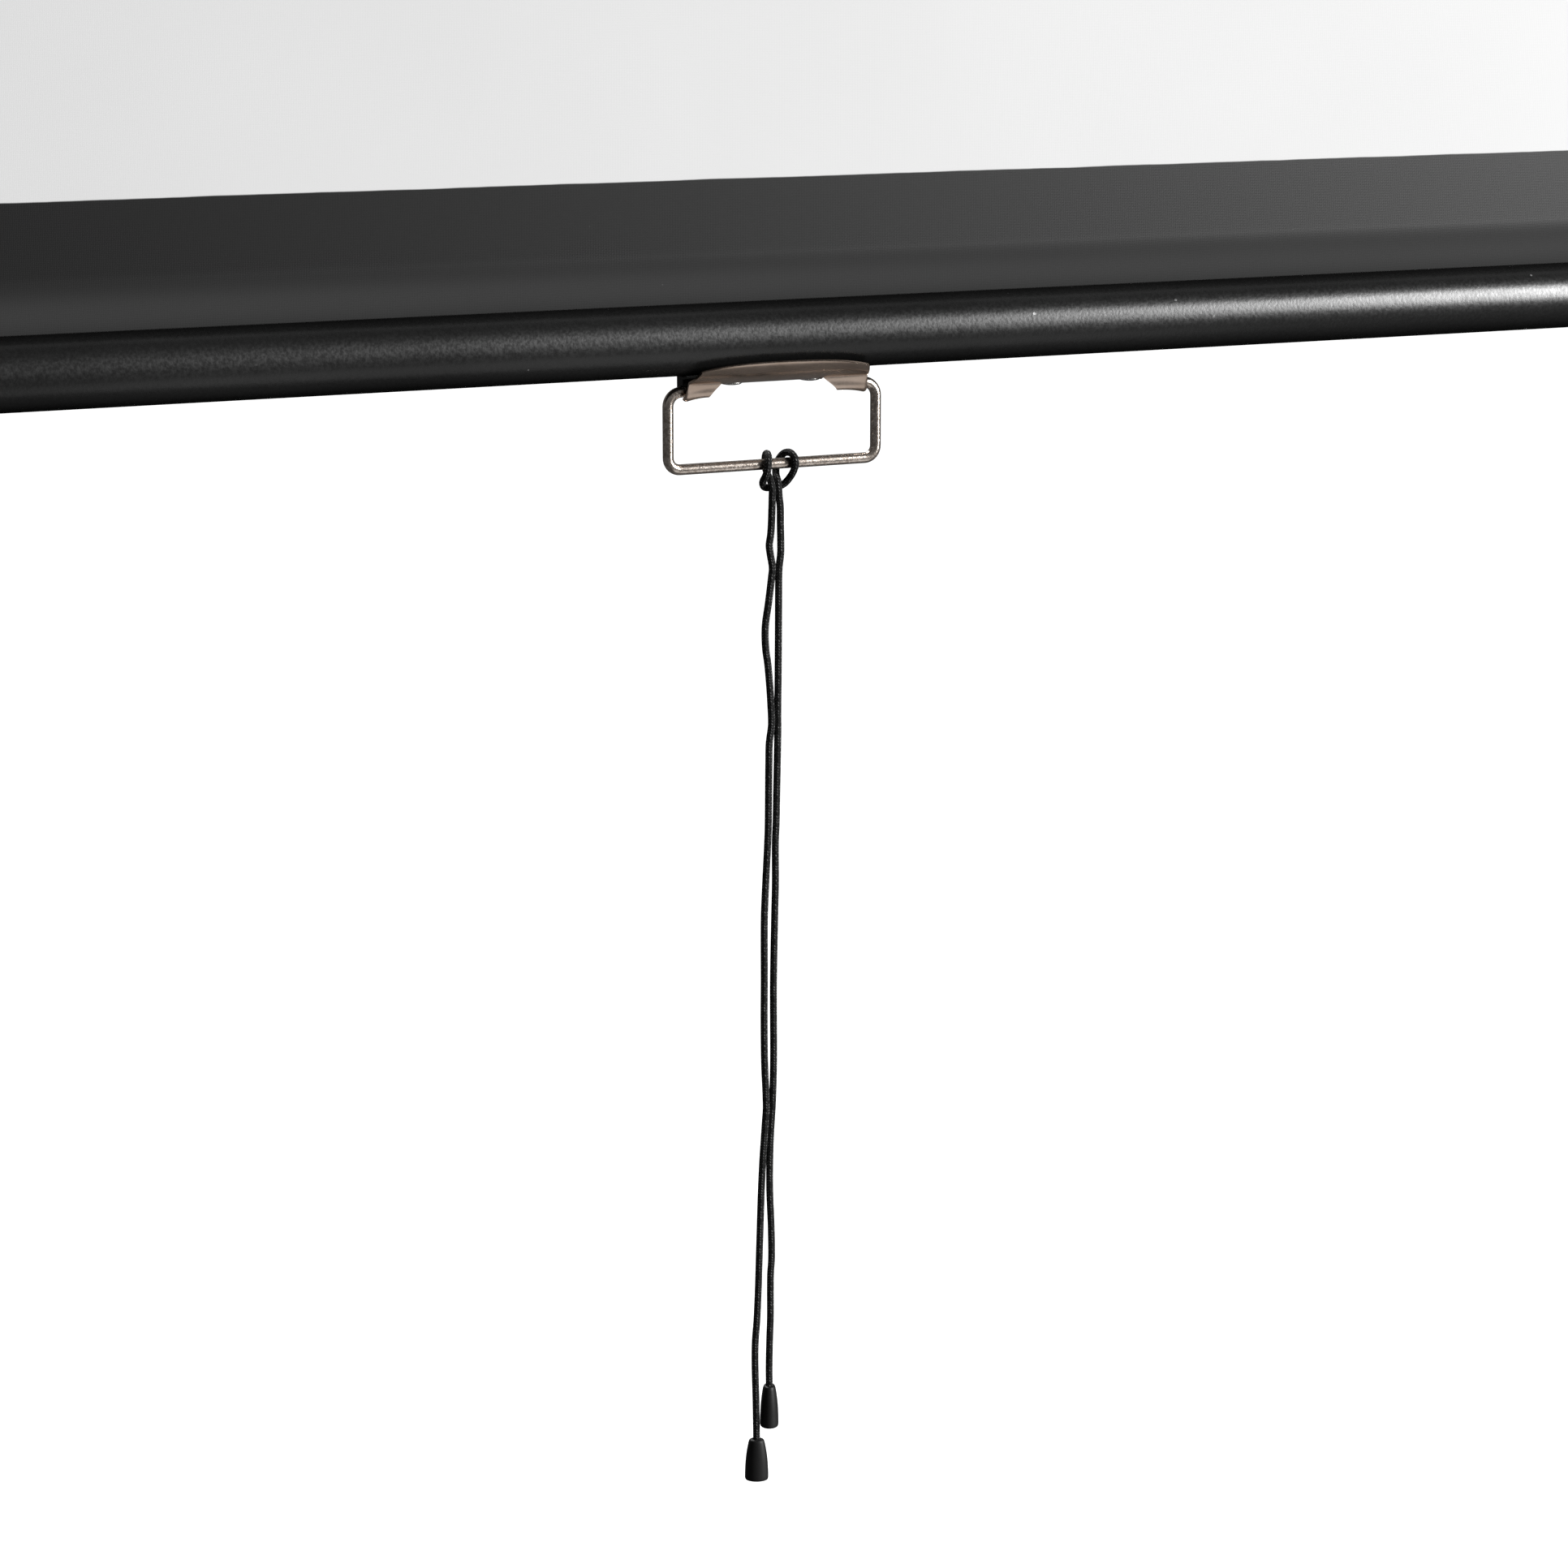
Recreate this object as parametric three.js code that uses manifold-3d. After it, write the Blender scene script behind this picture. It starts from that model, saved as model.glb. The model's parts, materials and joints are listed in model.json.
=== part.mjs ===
// Pull down projector screen: case with spring roller, screen, bottom bar, bail handle and pull cord.
// Millimetres. +X is the viewer's right, +Y points into the wall, +Z is up.
// The origin is the middle of the case's flat back, on the wall.
import * as THREE from "three";
import { mergeVertices } from "three/addons/utils/BufferGeometryUtils.js";
import Module from "manifold-3d";

const wasm = await Module();
wasm.setup();

// Clearances
const seatGap = 0.3; // between two pieces that touch
const runGap = 0.5; // between a turning piece and what it turns on
const cutOver = 3; // overrun of a cut past the wall it opens

// Screen: a 72 inch diagonal viewing area of 16 to 9, with a black border all round
const viewWidth = 1594;
const viewHeight = 897;
const sideBorder = 48;
const lowerBorder = 44;
const upperBorder = 120;
const fabricThick = 0.4;
const fabricWidth = viewWidth + 2 * sideBorder;
const fabricHalf = fabricWidth / 2;
const fabricDrop = upperBorder + viewHeight + lowerBorder; // from the case to the bottom bar

// Case
const caseDepth = 68;
const caseHeight = 70;
const caseWall = 1.6;
const caseFrontRadius = 16;
const caseBackRadius = 4;
const fabricEndRoom = 15; // from the fabric's edge to the end of the case shell
const caseSlotWidth = 14;
const caseLipHeight = 7;
const caseHalf = fabricHalf + fabricEndRoom;
const caseFloor = -caseHeight / 2;

// End caps
const capFlange = 4;
const capPlugDepth = 12;
const capPlugWall = 3;
const capPocketDepth = 2.5;
const capScrewInset = 7; // from the end of the shell
const capScrewSpacing = 18;
const capScrewRadius = 1.5;
const capScrewHeadRadius = 3;
const capScrewHeadHeight = 1.6;

// Wall and ceiling brackets
const bracketThick = 2.5;
const bracketReach = 28; // how far a flange stands out from the end cap
const bracketDepth = 46;
const bracketDrop = 64;
const bracketSlotWidth = 5.5;
const bracketSlotLength = 13;
const bracketSlotSpacing = 32;
const bracketScrewRadius = 2;
const bracketScrewHeadRadius = 4;
const bracketScrewHeadHeight = 2.2;
const bracketScrewSpacing = 40;
const bracketScrewFromWall = 14;

// Roller
const tubeRadius = 19;
const tubeWall = 1;
const tubeEndRoom = 4; // from the fabric's edge to the end of the roller tube
const rollThick = 0.9; // the layers still wound on the tube when the screen is down
const stripWidth = 2.6;
const plugFlange = 3;
const plugDepth = 26;
const rollerSteel = 2; // thickness of the two roller brackets
const tubeHalf = fabricHalf + tubeEndRoom;
const rollInner = tubeRadius + seatGap;
const rollOuter = rollInner + rollThick;
const plugRadius = tubeRadius - tubeWall - seatGap;
const barToWall = 4; // space left between the bottom bar and the wall

// Spring motor
const spindleRadius = 5;
const spindleLength = 420;
const tangThick = 6;
const springRadius = 9.5;
const springWire = 2.8;
const anchorLength = 14;
const anchorPinRadius = 1.5;
const anchorPinLength = 17;
const guideLength = 12;
const spindleTail = 4; // what shows of the spindle past its guide
const collarLength = 10;
const plugEndWall = 4;

// Lock
const ballRadius = 2.5;
const ballProud = 0.3; // the ball's middle past the lock core's edge
const plugWall = 4.4; // of the spring end plug round the lock core
const lockCoreRadius = plugRadius - plugWall - runGap;
const ballPitchRadius = lockCoreRadius + ballProud;
const lockCoreLength = 22;
const lockShift = 4; // from the free track to a latch pocket
const lockTrackDepth = 11; // of the free track from the plug's flange
const lockPockets = 4;

// Idle end
const idlePinRadius = 4;
const idleShoulder = 2;
const idleShoulderRadius = 6.4;
const bushFlangeRadius = 9;
const bushFlange = 2;
const bushRadius = 6.6;
const bushReach = 1.6; // past the roller bracket

// Bottom bar
const barRadius = 13;
const barWall = 1.5;
const barOverhang = 8; // past the fabric's edge
const barSlotWidth = 3;
const hemRodRadius = 2.5;
const barCapFlange = 3;
const barCapDepth = 12;
const barCapRadius = 13.3;
const barCapRim = 1; // step round the cap's end, and how far its middle stands out
const barCapCrown = 0.6;
const barHalf = fabricHalf + barOverhang;

// Handle plate, measured from the bar's axis
const plateSteel = 1;
const plateHalf = 36;
const lipCornerHalf = 33.4;
const lipLeftHeight = -10.3; // height of the lip's edge at its left corner, crown and right corner
const lipCrownHeight = -7.8;
const lipRightHeight = -10.7;
const lipCrownX = -5;
const windowMiddle = -2.6; // of the flange, between the tabs
const windowHalf = 19.5;
const windowFootMiddle = -1.5; // between the tabs' feet
const windowFootHalf = 25.6;
const flangeBack = 4.3;
const tabDrop = 21.55; // of the foot's outer corner, and how far in front of the axis it is
const tabFront = 1.8;
const tabInnerDrop = 20.2; // the same for the foot's inner corner
const tabInnerFront = 3.1;
const tabTaper = 0.5; // a tab's outer end stands further out at its foot by this

// Saddle, handle screws and bail, measured from the bar's axis
const saddleHalf = 36.2;
const saddleDepth = 4.5;
const saddleThick = 1;
const earFront = 1;
const earDrop = 20.4;
const earInner = 28.6;
const handleScrewSpacing = 31.3;
const handleScrewMiddle = -1;
const handleScrewRadius = 1.9;
const handleHeadRadius = 4.2;
const handleHeadHeight = 1.3;
const handleScrewReach = 5; // of the shank into the bar
const bailWire = 4;
const bailHalf = 41.65;
const bailDrop = 28.2; // from the pivot to the lower bar
const bailUpperCorner = 5.2;
const bailLowerCorner = 4.4;
const bailPivotDrop = 18.85;
const bailEnd = 29.2; // where the turned in ends stop, from the middle

// Cord and its ends
const cordDiameter = 2.7;
const bellHeight = 16.3;
const bellWide = 9.1;
const bellNarrow = 7.2;
const bellBore = 3; // the part of the bell that grips the cord
const knotRadius = 1.6;
const bellTurn = THREE.MathUtils.degToRad(24.7);

// The cord's route from the middle of the bight behind its legs, over the bail and down to its end.
// Points are measured from the middle of the bail's lower bar.
const leftHitchRoute = [
  [0.5, 2.6, -9.1],
  [-0.55, 2.6, -9.15],
  [-1.9, 2.2, -9],
  [-3.3, 1.3, -8.1],
  [-4.2, -0.4, -6.3],
  [-4.1, -2.4, -4.1],
  [-3.8, -3.7, -1.6],
  [-3.5, -3.7, 1.2],
  [-2.9, -2.3, 3.2],
  [-2.3, 0.1, 3.85],
  [-1.8, 2.5, 3.1],
  [-1.4, 3.9, 0.8],
  [-1.2, 3.9, -2],
  [-1, 2.3, -4.4],
  [-0.95, 0, -6.3],
  [-1, -1.6, -9.2],
  [-0.95, -1.4, -12.4],
  [-0.75, -0.8, -15.5],
];
const rightHitchRoute = [
  [0.9, 2.6, -9.1],
  [2.1, 2.6, -9.1],
  [3.5, 2.2, -8.8],
  [5.3, 1.1, -7.6],
  [6.45, -0.7, -5.4],
  [7.1, -2.6, -2.8],
  [7.4, -3.7, -0.2],
  [7.3, -3.6, 1.8],
  [6.8, -2.1, 3.4],
  [6.2, 0.2, 3.85],
  [5.4, 2.5, 3.1],
  [4.2, 3.9, 1],
  [3.1, 3.9, -1.6],
  [2.3, 2.4, -4.3],
  [2, 0.2, -6.3],
  [1.85, -0.9, -9.2],
  [2.05, -1, -12.4],
  [2.5, -0.8, -15.5],
];
const leftFallRoute = [
  [-0.75, -0.8, -15.8],
  [-0.65, 0, -22.5],
  [-0.9, 0, -26],
  [-1.5, 0, -30.1],
  [-1.1, 0, -33.5],
  [-0.35, -0.2, -38.5],
  [-0.7, -0.1, -42.5],
  [-1.8, 0, -51.3],
  [-3.15, 0, -60.5],
  [-3, 0, -68.5],
  [-2.15, 0, -74.5],
  [-1.45, 0, -81.9],
  [-1.05, -0.15, -88.5],
  [-0.78, -0.36, -96.5],
  [-0.85, -0.28, -98.5],
  [-1.55, 0, -104.5],
  [-1.75, 0, -112.5],
  [-2, 0, -135.5],
  [-2.25, 0, -142.5],
  [-3.1, 0, -158.5],
  [-3.65, 0, -171.5],
  [-3.7, 0, -196.5],
  [-3.8, 0, -210.5],
  [-3.6, 0, -228.5],
  [-3.15, -0.2, -240.5],
  [-3.15, -0.38, -246.5],
  [-3.45, -0.36, -250.5],
  [-3.98, -0.27, -258.5],
  [-4.4, -0.05, -265.5],
  [-5, 0, -277.5],
  [-5.6, 0, -294.5],
  [-6, 0, -306.5],
  [-6.4, 0, -318.5],
  [-7, 0, -330.5],
  [-7.65, 0, -338.5],
  [-7.8, 0, -346.5],
  [-7.4, 0, -363.5],
  [-7.2, 0, -377.5],
  [-7.2, 0, -382.1],
];
const rightFallRoute = [
  [2.55, -0.8, -15.8],
  [3, 0, -22.5],
  [3.15, 0, -30],
  [3.1, 0, -33.5],
  [2.57, 0.2, -38.5],
  [2.37, 0.1, -42.5],
  [2.25, 0, -51.3],
  [2.15, 0, -68.5],
  [2, 0, -84.5],
  [2, 0.15, -88.5],
  [2.06, 0.36, -96.5],
  [2.06, 0.28, -98.5],
  [1.85, 0, -104.5],
  [1.5, 0, -121.5],
  [1.2, 0, -135.5],
  [0.9, 0, -142.5],
  [0.9, 0, -158.5],
  [0.6, 0, -171.5],
  [0.1, 0, -196.5],
  [0.1, 0, -228.5],
  [-0.12, 0.2, -240.5],
  [-0.32, 0.38, -246.5],
  [-0.6, 0.36, -250.5],
  [-1.1, 0.27, -258.5],
  [-1.45, 0.05, -265.5],
  [-1.55, 0, -277.5],
  [-0.9, 0, -294.5],
  [-0.8, 0, -306.5],
  [-1.2, 0, -312.5],
  [-1.3, 0, -330.5],
  [-1.6, 0, -338.5],
  [-1.85, 0, -350.5],
  [-1.8, 0, -356.4],
  [-1.8, 0, -360.9],
];
const hitchSteps = 17;
const leftFallSteps = 25;
const rightFallSteps = 23;

// Places that follow from the sizes above
const barFromWall = barRadius + barToWall;
const sheetOffset = rollOuter + seatGap + fabricThick / 2; // from the roller's axis to the hanging fabric
const rollerAt = new THREE.Vector3(0, -barFromWall - sheetOffset, 0);
const barAt = new THREE.Vector3(0, -barFromWall, caseFloor - fabricDrop - barRadius);
const slotBack = -barFromWall + caseSlotWidth / 2;
const slotFront = slotBack - caseSlotWidth;
const capInner = caseHalf + seatGap;
const bracketInner = capInner + capFlange + seatGap;
const steelInner = caseHalf - rollerSteel;
const plateOuter = barRadius + seatGap + saddleThick + seatGap + plateSteel; // radius of the lip's outer face

// Materials
function finish(color, roughness, metalness) {
  return new THREE.MeshStandardMaterial({ color, roughness, metalness });
}
const powderBlack = [0x1f2020, 0.55, 0.2];
const mouldedBlack = [0x18191a, 0.6, 0];
const zincSteel = [0xa9abad, 0.4, 0.9];
const nickelPlate = [0xb0a091, 0.3, 1];
const springSteel = [0x5a5c60, 0.35, 0.9];
const screenWhite = [0xeeeeec, 0.9, 0];
const cordBlack = [0x25262a, 0.85, 0];

// Closed solids from three.js geometry, joined and cut
function solidFrom(geometry) {
  const bare = new THREE.BufferGeometry();
  bare.setAttribute("position", geometry.getAttribute("position"));
  if (geometry.index) {
    bare.setIndex(geometry.index);
  }
  const merged = mergeVertices(bare);
  const vertProperties = merged.attributes.position.array;
  const triVerts = new Uint32Array(merged.index.array);
  return new wasm.Manifold(new wasm.Mesh({ numProp: 3, vertProperties, triVerts }));
}

function geometryFrom(solid) {
  const mesh = solid.getMesh();
  const geometry = new THREE.BufferGeometry();
  geometry.setAttribute("position", new THREE.BufferAttribute(mesh.vertProperties, 3));
  geometry.setIndex(new THREE.BufferAttribute(mesh.triVerts, 1));
  geometry.computeVertexNormals();
  return geometry;
}

function cut(geometry, ...tools) {
  let solid = solidFrom(geometry);
  for (const tool of tools) {
    solid = solid.subtract(solidFrom(tool));
  }
  return geometryFrom(solid);
}

function join(geometry, ...others) {
  let solid = solidFrom(geometry);
  for (const other of others) {
    solid = solid.add(solidFrom(other));
  }
  return geometryFrom(solid);
}

function common(geometry, other) {
  return geometryFrom(solidFrom(geometry).intersect(solidFrom(other)));
}

// Boxes, rods and prisms between two places along an axis
function block(low, high) {
  const size = high.map((value, axis) => value - low[axis]);
  const middle = high.map((value, axis) => (value + low[axis]) / 2);
  return new THREE.BoxGeometry(...size).translate(...middle);
}

function rodX(radius, from, to, y = 0, z = 0, sides = 24) {
  const rod = new THREE.CylinderGeometry(radius, radius, to - from, sides);
  return rod.rotateZ(-Math.PI / 2).translate((from + to) / 2, y, z);
}

function rodZ(radius, from, to, x = 0, y = 0, sides = 16) {
  const rod = new THREE.CylinderGeometry(radius, radius, to - from, sides);
  return rod.rotateX(Math.PI / 2).translate(x, y, (from + to) / 2);
}

function ringX(outer, inner, from, to, sides = 40) {
  return cut(rodX(outer, from, to, 0, 0, sides), rodX(inner, from - cutOver, to + cutOver, 0, 0, sides));
}

// A shape drawn in Y and Z, carried along X
const alongX = new THREE.Matrix4().set(0, 0, 1, 0, 1, 0, 0, 0, 0, 1, 0, 0, 0, 0, 0, 1);
function prismX(shape, from, to, curveSegments = 5) {
  const prism = new THREE.ExtrudeGeometry(shape, { depth: to - from, bevelEnabled: false, curveSegments });
  return prism.applyMatrix4(alongX).translate(from, 0, 0);
}

// A shape drawn in X and Z, carried along Y
function prismY(shape, from, to, curveSegments = 5) {
  const prism = new THREE.ExtrudeGeometry(shape, { depth: to - from, bevelEnabled: false, curveSegments });
  return prism.rotateX(Math.PI / 2).translate(0, to, 0);
}

function outlineOf(points) {
  return new THREE.Shape(points.map(([a, b]) => new THREE.Vector2(a, b)));
}

// A screw with a domed head, its shank along +Z from the head's flat at the origin
const headDomeShares = [
  [1, 0],
  [1, 0.35],
  [0.82, 0.75],
  [0.5, 0.95],
  [0, 1],
];
function screwShape(shankRadius, shankLength, headRadius, headHeight, sides = 16) {
  const profile = headDomeShares.map(([out, down]) => new THREE.Vector2(out * headRadius, -down * headHeight));
  profile.reverse();
  profile.push(new THREE.Vector2(shankRadius, 0));
  profile.push(new THREE.Vector2(shankRadius, shankLength - shankRadius / 2));
  profile.push(new THREE.Vector2(shankRadius / 2, shankLength));
  profile.push(new THREE.Vector2(0, shankLength));
  return new THREE.LatheGeometry(profile, sides).rotateX(Math.PI / 2);
}

// The model, as groups of named pieces
const screen = new THREE.Group();

function addPiece(group, name, geometry, look) {
  const mesh = new THREE.Mesh(geometry, finish(...look));
  mesh.name = name;
  group.add(mesh);
  return mesh;
}

function addGroup(parent, at) {
  const group = new THREE.Group();
  group.position.copy(at);
  parent.add(group);
  return group;
}

// Case: a C section with rounded front corners, open along a slot in its floor
function caseOutline(inset) {
  const back = -inset;
  const front = inset - caseDepth;
  const top = caseHeight / 2 - inset;
  const backRound = Math.max(caseBackRadius - inset, caseWall / 2);
  const frontRound = Math.max(caseFrontRadius - inset, caseWall / 2);
  const shape = new THREE.Shape();
  shape.moveTo(back - backRound, -top);
  shape.absarc(back - backRound, backRound - top, backRound, -Math.PI / 2, 0, false);
  shape.absarc(back - backRound, top - backRound, backRound, 0, Math.PI / 2, false);
  shape.absarc(front + frontRound, top - frontRound, frontRound, Math.PI / 2, Math.PI, false);
  shape.absarc(front + frontRound, frontRound - top, frontRound, Math.PI, 1.5 * Math.PI, false);
  shape.closePath();
  return shape;
}

function capScrewPlaces(side) {
  const x = side * (caseHalf - capScrewInset);
  const back = slotFront - capScrewSpacing / 2;
  return { rear: [x, back], front: [x, back - capScrewSpacing] };
}

function makeCaseSection() {
  const length = caseHalf;
  const tubeSection = prismX(caseOutline(0), -length, length);
  const hollow = prismX(caseOutline(caseWall), -length - cutOver, length + cutOver);
  const slot = block([-length - cutOver, slotFront, caseFloor - cutOver], [length + cutOver, slotBack, 0]);
  const lipTop = caseFloor + caseLipHeight;
  const frontLip = block([-fabricHalf, slotFront - caseWall, caseFloor], [fabricHalf, slotFront, lipTop]);
  const backLip = block([-fabricHalf, slotBack, caseFloor], [fabricHalf, slotBack + caseWall, lipTop]);
  const screwHoles = [];
  for (const side of [-1, 1]) {
    for (const [x, y] of Object.values(capScrewPlaces(side))) {
      screwHoles.push(rodZ(capScrewRadius + seatGap, caseFloor - cutOver, caseFloor + cutOver, x, y));
    }
  }
  return join(cut(tubeSection, hollow, slot, ...screwHoles), frontLip, backLip);
}

// The case is made up of five long panels, parted at its corners
const caseSection = makeCaseSection();
const panelGap = seatGap / 2;
const backJoint = -caseBackRadius;
const frontJoint = caseHeight / 2 - caseFrontRadius; // above and below the middle
const casePanels = {
  case_back: [[backJoint + panelGap, -caseHeight], [cutOver, caseHeight]],
  case_top: [[-caseDepth - cutOver, frontJoint + panelGap], [backJoint - panelGap, caseHeight]],
  case_front: [[-caseDepth - cutOver, panelGap - frontJoint], [slotFront, frontJoint - panelGap]],
  case_front_floor: [[-caseDepth - cutOver, -caseHeight], [slotFront, -frontJoint - panelGap]],
  case_rear_floor: [[slotBack, -caseHeight], [backJoint - panelGap, -frontJoint]],
};
for (const [name, [low, high]] of Object.entries(casePanels)) {
  const room = block([-caseHalf - cutOver, ...low], [caseHalf + cutOver, ...high]);
  addPiece(screen, name, common(caseSection, room), powderBlack);
}

// Bracket screws pass the wall bracket, the end cap and the roller bracket on each side
const bracketScrewPlaces = {
  upper: [-bracketScrewFromWall, bracketScrewSpacing / 2],
  lower: [-bracketScrewFromWall, -bracketScrewSpacing / 2],
};
function bracketScrewHoles(from, to) {
  const places = Object.values(bracketScrewPlaces);
  return places.map(([y, z]) => rodX(bracketScrewRadius + seatGap, from - cutOver, to + cutOver, y, z, 16));
}

// End cap: a flange over the shell's end, and a plug wall inside it
function makeEndCap(side) {
  const flangeOut = capInner + capFlange;
  const plugIn = capInner - capPlugDepth;
  const plugOuter = caseWall + seatGap;
  const flange = prismX(caseOutline(0), capInner, flangeOut);
  const ring = cut(
    prismX(caseOutline(plugOuter), plugIn, capInner + capFlange / 2),
    prismX(caseOutline(plugOuter + capPlugWall), plugIn - cutOver, capInner),
  );
  const pocket = rodX(bushFlangeRadius, capInner - cutOver, capInner + capPocketDepth, rollerAt.y, 0);
  const fabricWay = block([plugIn - cutOver, slotFront, caseFloor], [capInner, slotBack, rollerAt.z]);
  const screwHoles = Object.values(capScrewPlaces(1)).map(([x, y]) =>
    rodZ(capScrewRadius + seatGap, caseFloor, caseFloor + caseWall + capPlugWall + cutOver, x, y),
  );
  const boltHoles = bracketScrewHoles(capInner, flangeOut);
  const cap = cut(join(flange, ring), pocket, fabricWay, ...screwHoles, ...boltHoles);
  return side > 0 ? cap : mirrored(cap);
}

// The same solid on the other side of the middle plane, its faces still pointing out
function mirrored(geometry) {
  const flat = geometry.index ? geometry.toNonIndexed() : geometry.clone();
  const position = flat.getAttribute("position");
  const turned = new Float32Array(position.count * 3);
  for (let corner = 0; corner < position.count; corner += 3) {
    for (const [to, from] of [[0, 0], [1, 2], [2, 1]]) {
      const at = (corner + to) * 3;
      turned[at] = -position.getX(corner + from);
      turned[at + 1] = position.getY(corner + from);
      turned[at + 2] = position.getZ(corner + from);
    }
  }
  const other = new THREE.BufferGeometry();
  other.setAttribute("position", new THREE.BufferAttribute(turned, 3));
  other.computeVertexNormals();
  return other;
}

// Wall and ceiling bracket: a side plate on the end cap, with one flange on the wall and one on top
function makeMountBracket(side) {
  const from = bracketInner;
  const to = from + bracketReach;
  const top = caseHeight / 2;
  const low = top - bracketDrop;
  const cheek = outlineOf([
    [0, low],
    [0, top],
    [-bracketDepth, top],
    [-bracketDepth, top - bracketDepth / 2],
    [-bracketDepth / 2, low],
  ]);
  const plate = prismX(cheek, from, from + bracketThick);
  const wallFlange = block([from, -bracketThick, low], [to, 0, top]);
  const topFlange = block([from, -bracketDepth, top - bracketThick], [to, 0, top]);
  const slotX = from + (bracketThick + bracketReach) / 2;
  const half = bracketSlotWidth / 2;
  const straight = (bracketSlotLength - bracketSlotWidth) / 2;
  const slotTools = [];
  for (const z of [-bracketSlotSpacing / 2, bracketSlotSpacing / 2]) {
    const slot = new THREE.Shape();
    slot.absarc(slotX, z + straight, half, 0, Math.PI, false);
    slot.absarc(slotX, z - straight, half, Math.PI, 2 * Math.PI, false);
    slotTools.push(prismY(slot, -bracketThick - cutOver, cutOver));
  }
  const topSlot = new THREE.Shape();
  const topSlotY = -(bracketDepth + bracketThick) / 2;
  topSlot.absarc(slotX, topSlotY + straight, half, 0, Math.PI, false);
  topSlot.absarc(slotX, topSlotY - straight, half, Math.PI, 2 * Math.PI, false);
  const topTool = new THREE.ExtrudeGeometry(topSlot, {
    depth: bracketThick + 2 * cutOver,
    bevelEnabled: false,
    curveSegments: 5,
  }).translate(0, 0, top - bracketThick - cutOver);
  const holes = bracketScrewHoles(from, from + bracketThick);
  const bracket = cut(join(plate, wallFlange, topFlange), ...slotTools, topTool, ...holes);
  return side > 0 ? bracket : mirrored(bracket);
}

// Roller bracket: a steel plate inside the cap's plug wall, with an opening on the roller's axis
function makeRollerBracket(side, opening) {
  const outline = caseOutline(caseWall + 2 * seatGap + capPlugWall);
  const fabricWay = block([steelInner - cutOver, slotFront, caseFloor], [capInner, slotBack, rollerAt.z]);
  const plate = prismX(outline, steelInner, caseHalf);
  const cleared = cut(plate, opening, fabricWay, ...bracketScrewHoles(steelInner, caseHalf));
  return side > 0 ? cleared : mirrored(cleared);
}

const tangOpening = block(
  [steelInner - cutOver, rollerAt.y - spindleRadius - seatGap, -tangThick / 2 - seatGap],
  [caseHalf + cutOver, rollerAt.y + spindleRadius + seatGap, tangThick / 2 + seatGap],
);
const bushOpening = rodX(bushRadius + seatGap, steelInner - cutOver, caseHalf + cutOver, rollerAt.y, 0);

for (const [side, word] of [[-1, "left"], [1, "right"]]) {
  addPiece(screen, word + "_end_cap", makeEndCap(side), mouldedBlack);
  addPiece(screen, word + "_mount_bracket", makeMountBracket(side), powderBlack);
  const opening = side < 0 ? tangOpening : bushOpening;
  addPiece(screen, word + "_roller_bracket", makeRollerBracket(side, opening), zincSteel);
  const capShank = caseWall + capPlugWall + 2 * seatGap;
  for (const [place, [x, y]] of Object.entries(capScrewPlaces(side))) {
    const shape = screwShape(capScrewRadius, capShank, capScrewHeadRadius, capScrewHeadHeight);
    const screw = addPiece(screen, word + "_cap_screw_" + place, shape, zincSteel);
    screw.position.set(x, y, caseFloor - seatGap);
  }
  const boltShank = bracketThick + capFlange + rollerSteel + 3 * seatGap + bracketScrewRadius;
  for (const [place, [y, z]] of Object.entries(bracketScrewPlaces)) {
    const shape = screwShape(bracketScrewRadius, boltShank, bracketScrewHeadRadius, bracketScrewHeadHeight);
    const screw = addPiece(screen, word + "_bracket_screw_" + place, shape, zincSteel);
    screw.position.set(side * (bracketInner + bracketThick + seatGap), y, z);
    screw.rotation.y = (-side * Math.PI) / 2;
  }
}

// Roller, with everything on its axis
const roller = addGroup(screen, rollerAt);

function makeRollerTube() {
  const tube = ringX(tubeRadius, tubeRadius - tubeWall, -tubeHalf, tubeHalf);
  const half = stripWidth / 2 + seatGap;
  const slot = block([-tubeHalf - cutOver, -half, 0], [tubeHalf + cutOver, half, tubeRadius + cutOver]);
  return cut(tube, slot);
}
addPiece(roller, "roller_tube", makeRollerTube(), zincSteel);

const stripLow = tubeRadius - tubeWall;
const fabricStrip = block([-fabricHalf, -stripWidth / 2, stripLow], [fabricHalf, stripWidth / 2, tubeRadius]);
addPiece(roller, "fabric_strip", fabricStrip, mouldedBlack);
addPiece(roller, "fabric_roll", ringX(rollOuter, rollInner, -fabricHalf, fabricHalf), screenWhite);

// Spring end of the roller, on the left: plug, lock, spindle, spring and its anchor
const plugOut = -tubeHalf - seatGap;
const plugIn = plugOut + plugDepth;
const plugFloor = plugIn - plugEndWall;
const lockBallX = plugOut + lockTrackDepth;
const coreFrom = lockBallX - lockCoreLength / 2;
const coreTo = lockBallX + lockCoreLength / 2 - 2 * runGap;
const spindleFrom = -steelInner + 2 * runGap;
const spindleTo = spindleFrom + spindleLength;
const guideTo = spindleTo - spindleTail;
const guideFrom = guideTo - guideLength;
const anchorTo = guideFrom - 2 * runGap;
const anchorFrom = anchorTo - anchorLength;
const collarTo = plugIn + collarLength;

// A groove for the ball, round the core or along an axis
function ballTrack(from, to, turn) {
  const y = ballPitchRadius * Math.sin(turn);
  const z = -ballPitchRadius * Math.cos(turn);
  const track = rodX(ballRadius + seatGap, from, to, y, z, 16);
  const end = new THREE.SphereGeometry(ballRadius + seatGap, 16, 12).rotateZ(Math.PI / 2).translate(from, y, z);
  return join(track, end);
}

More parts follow.
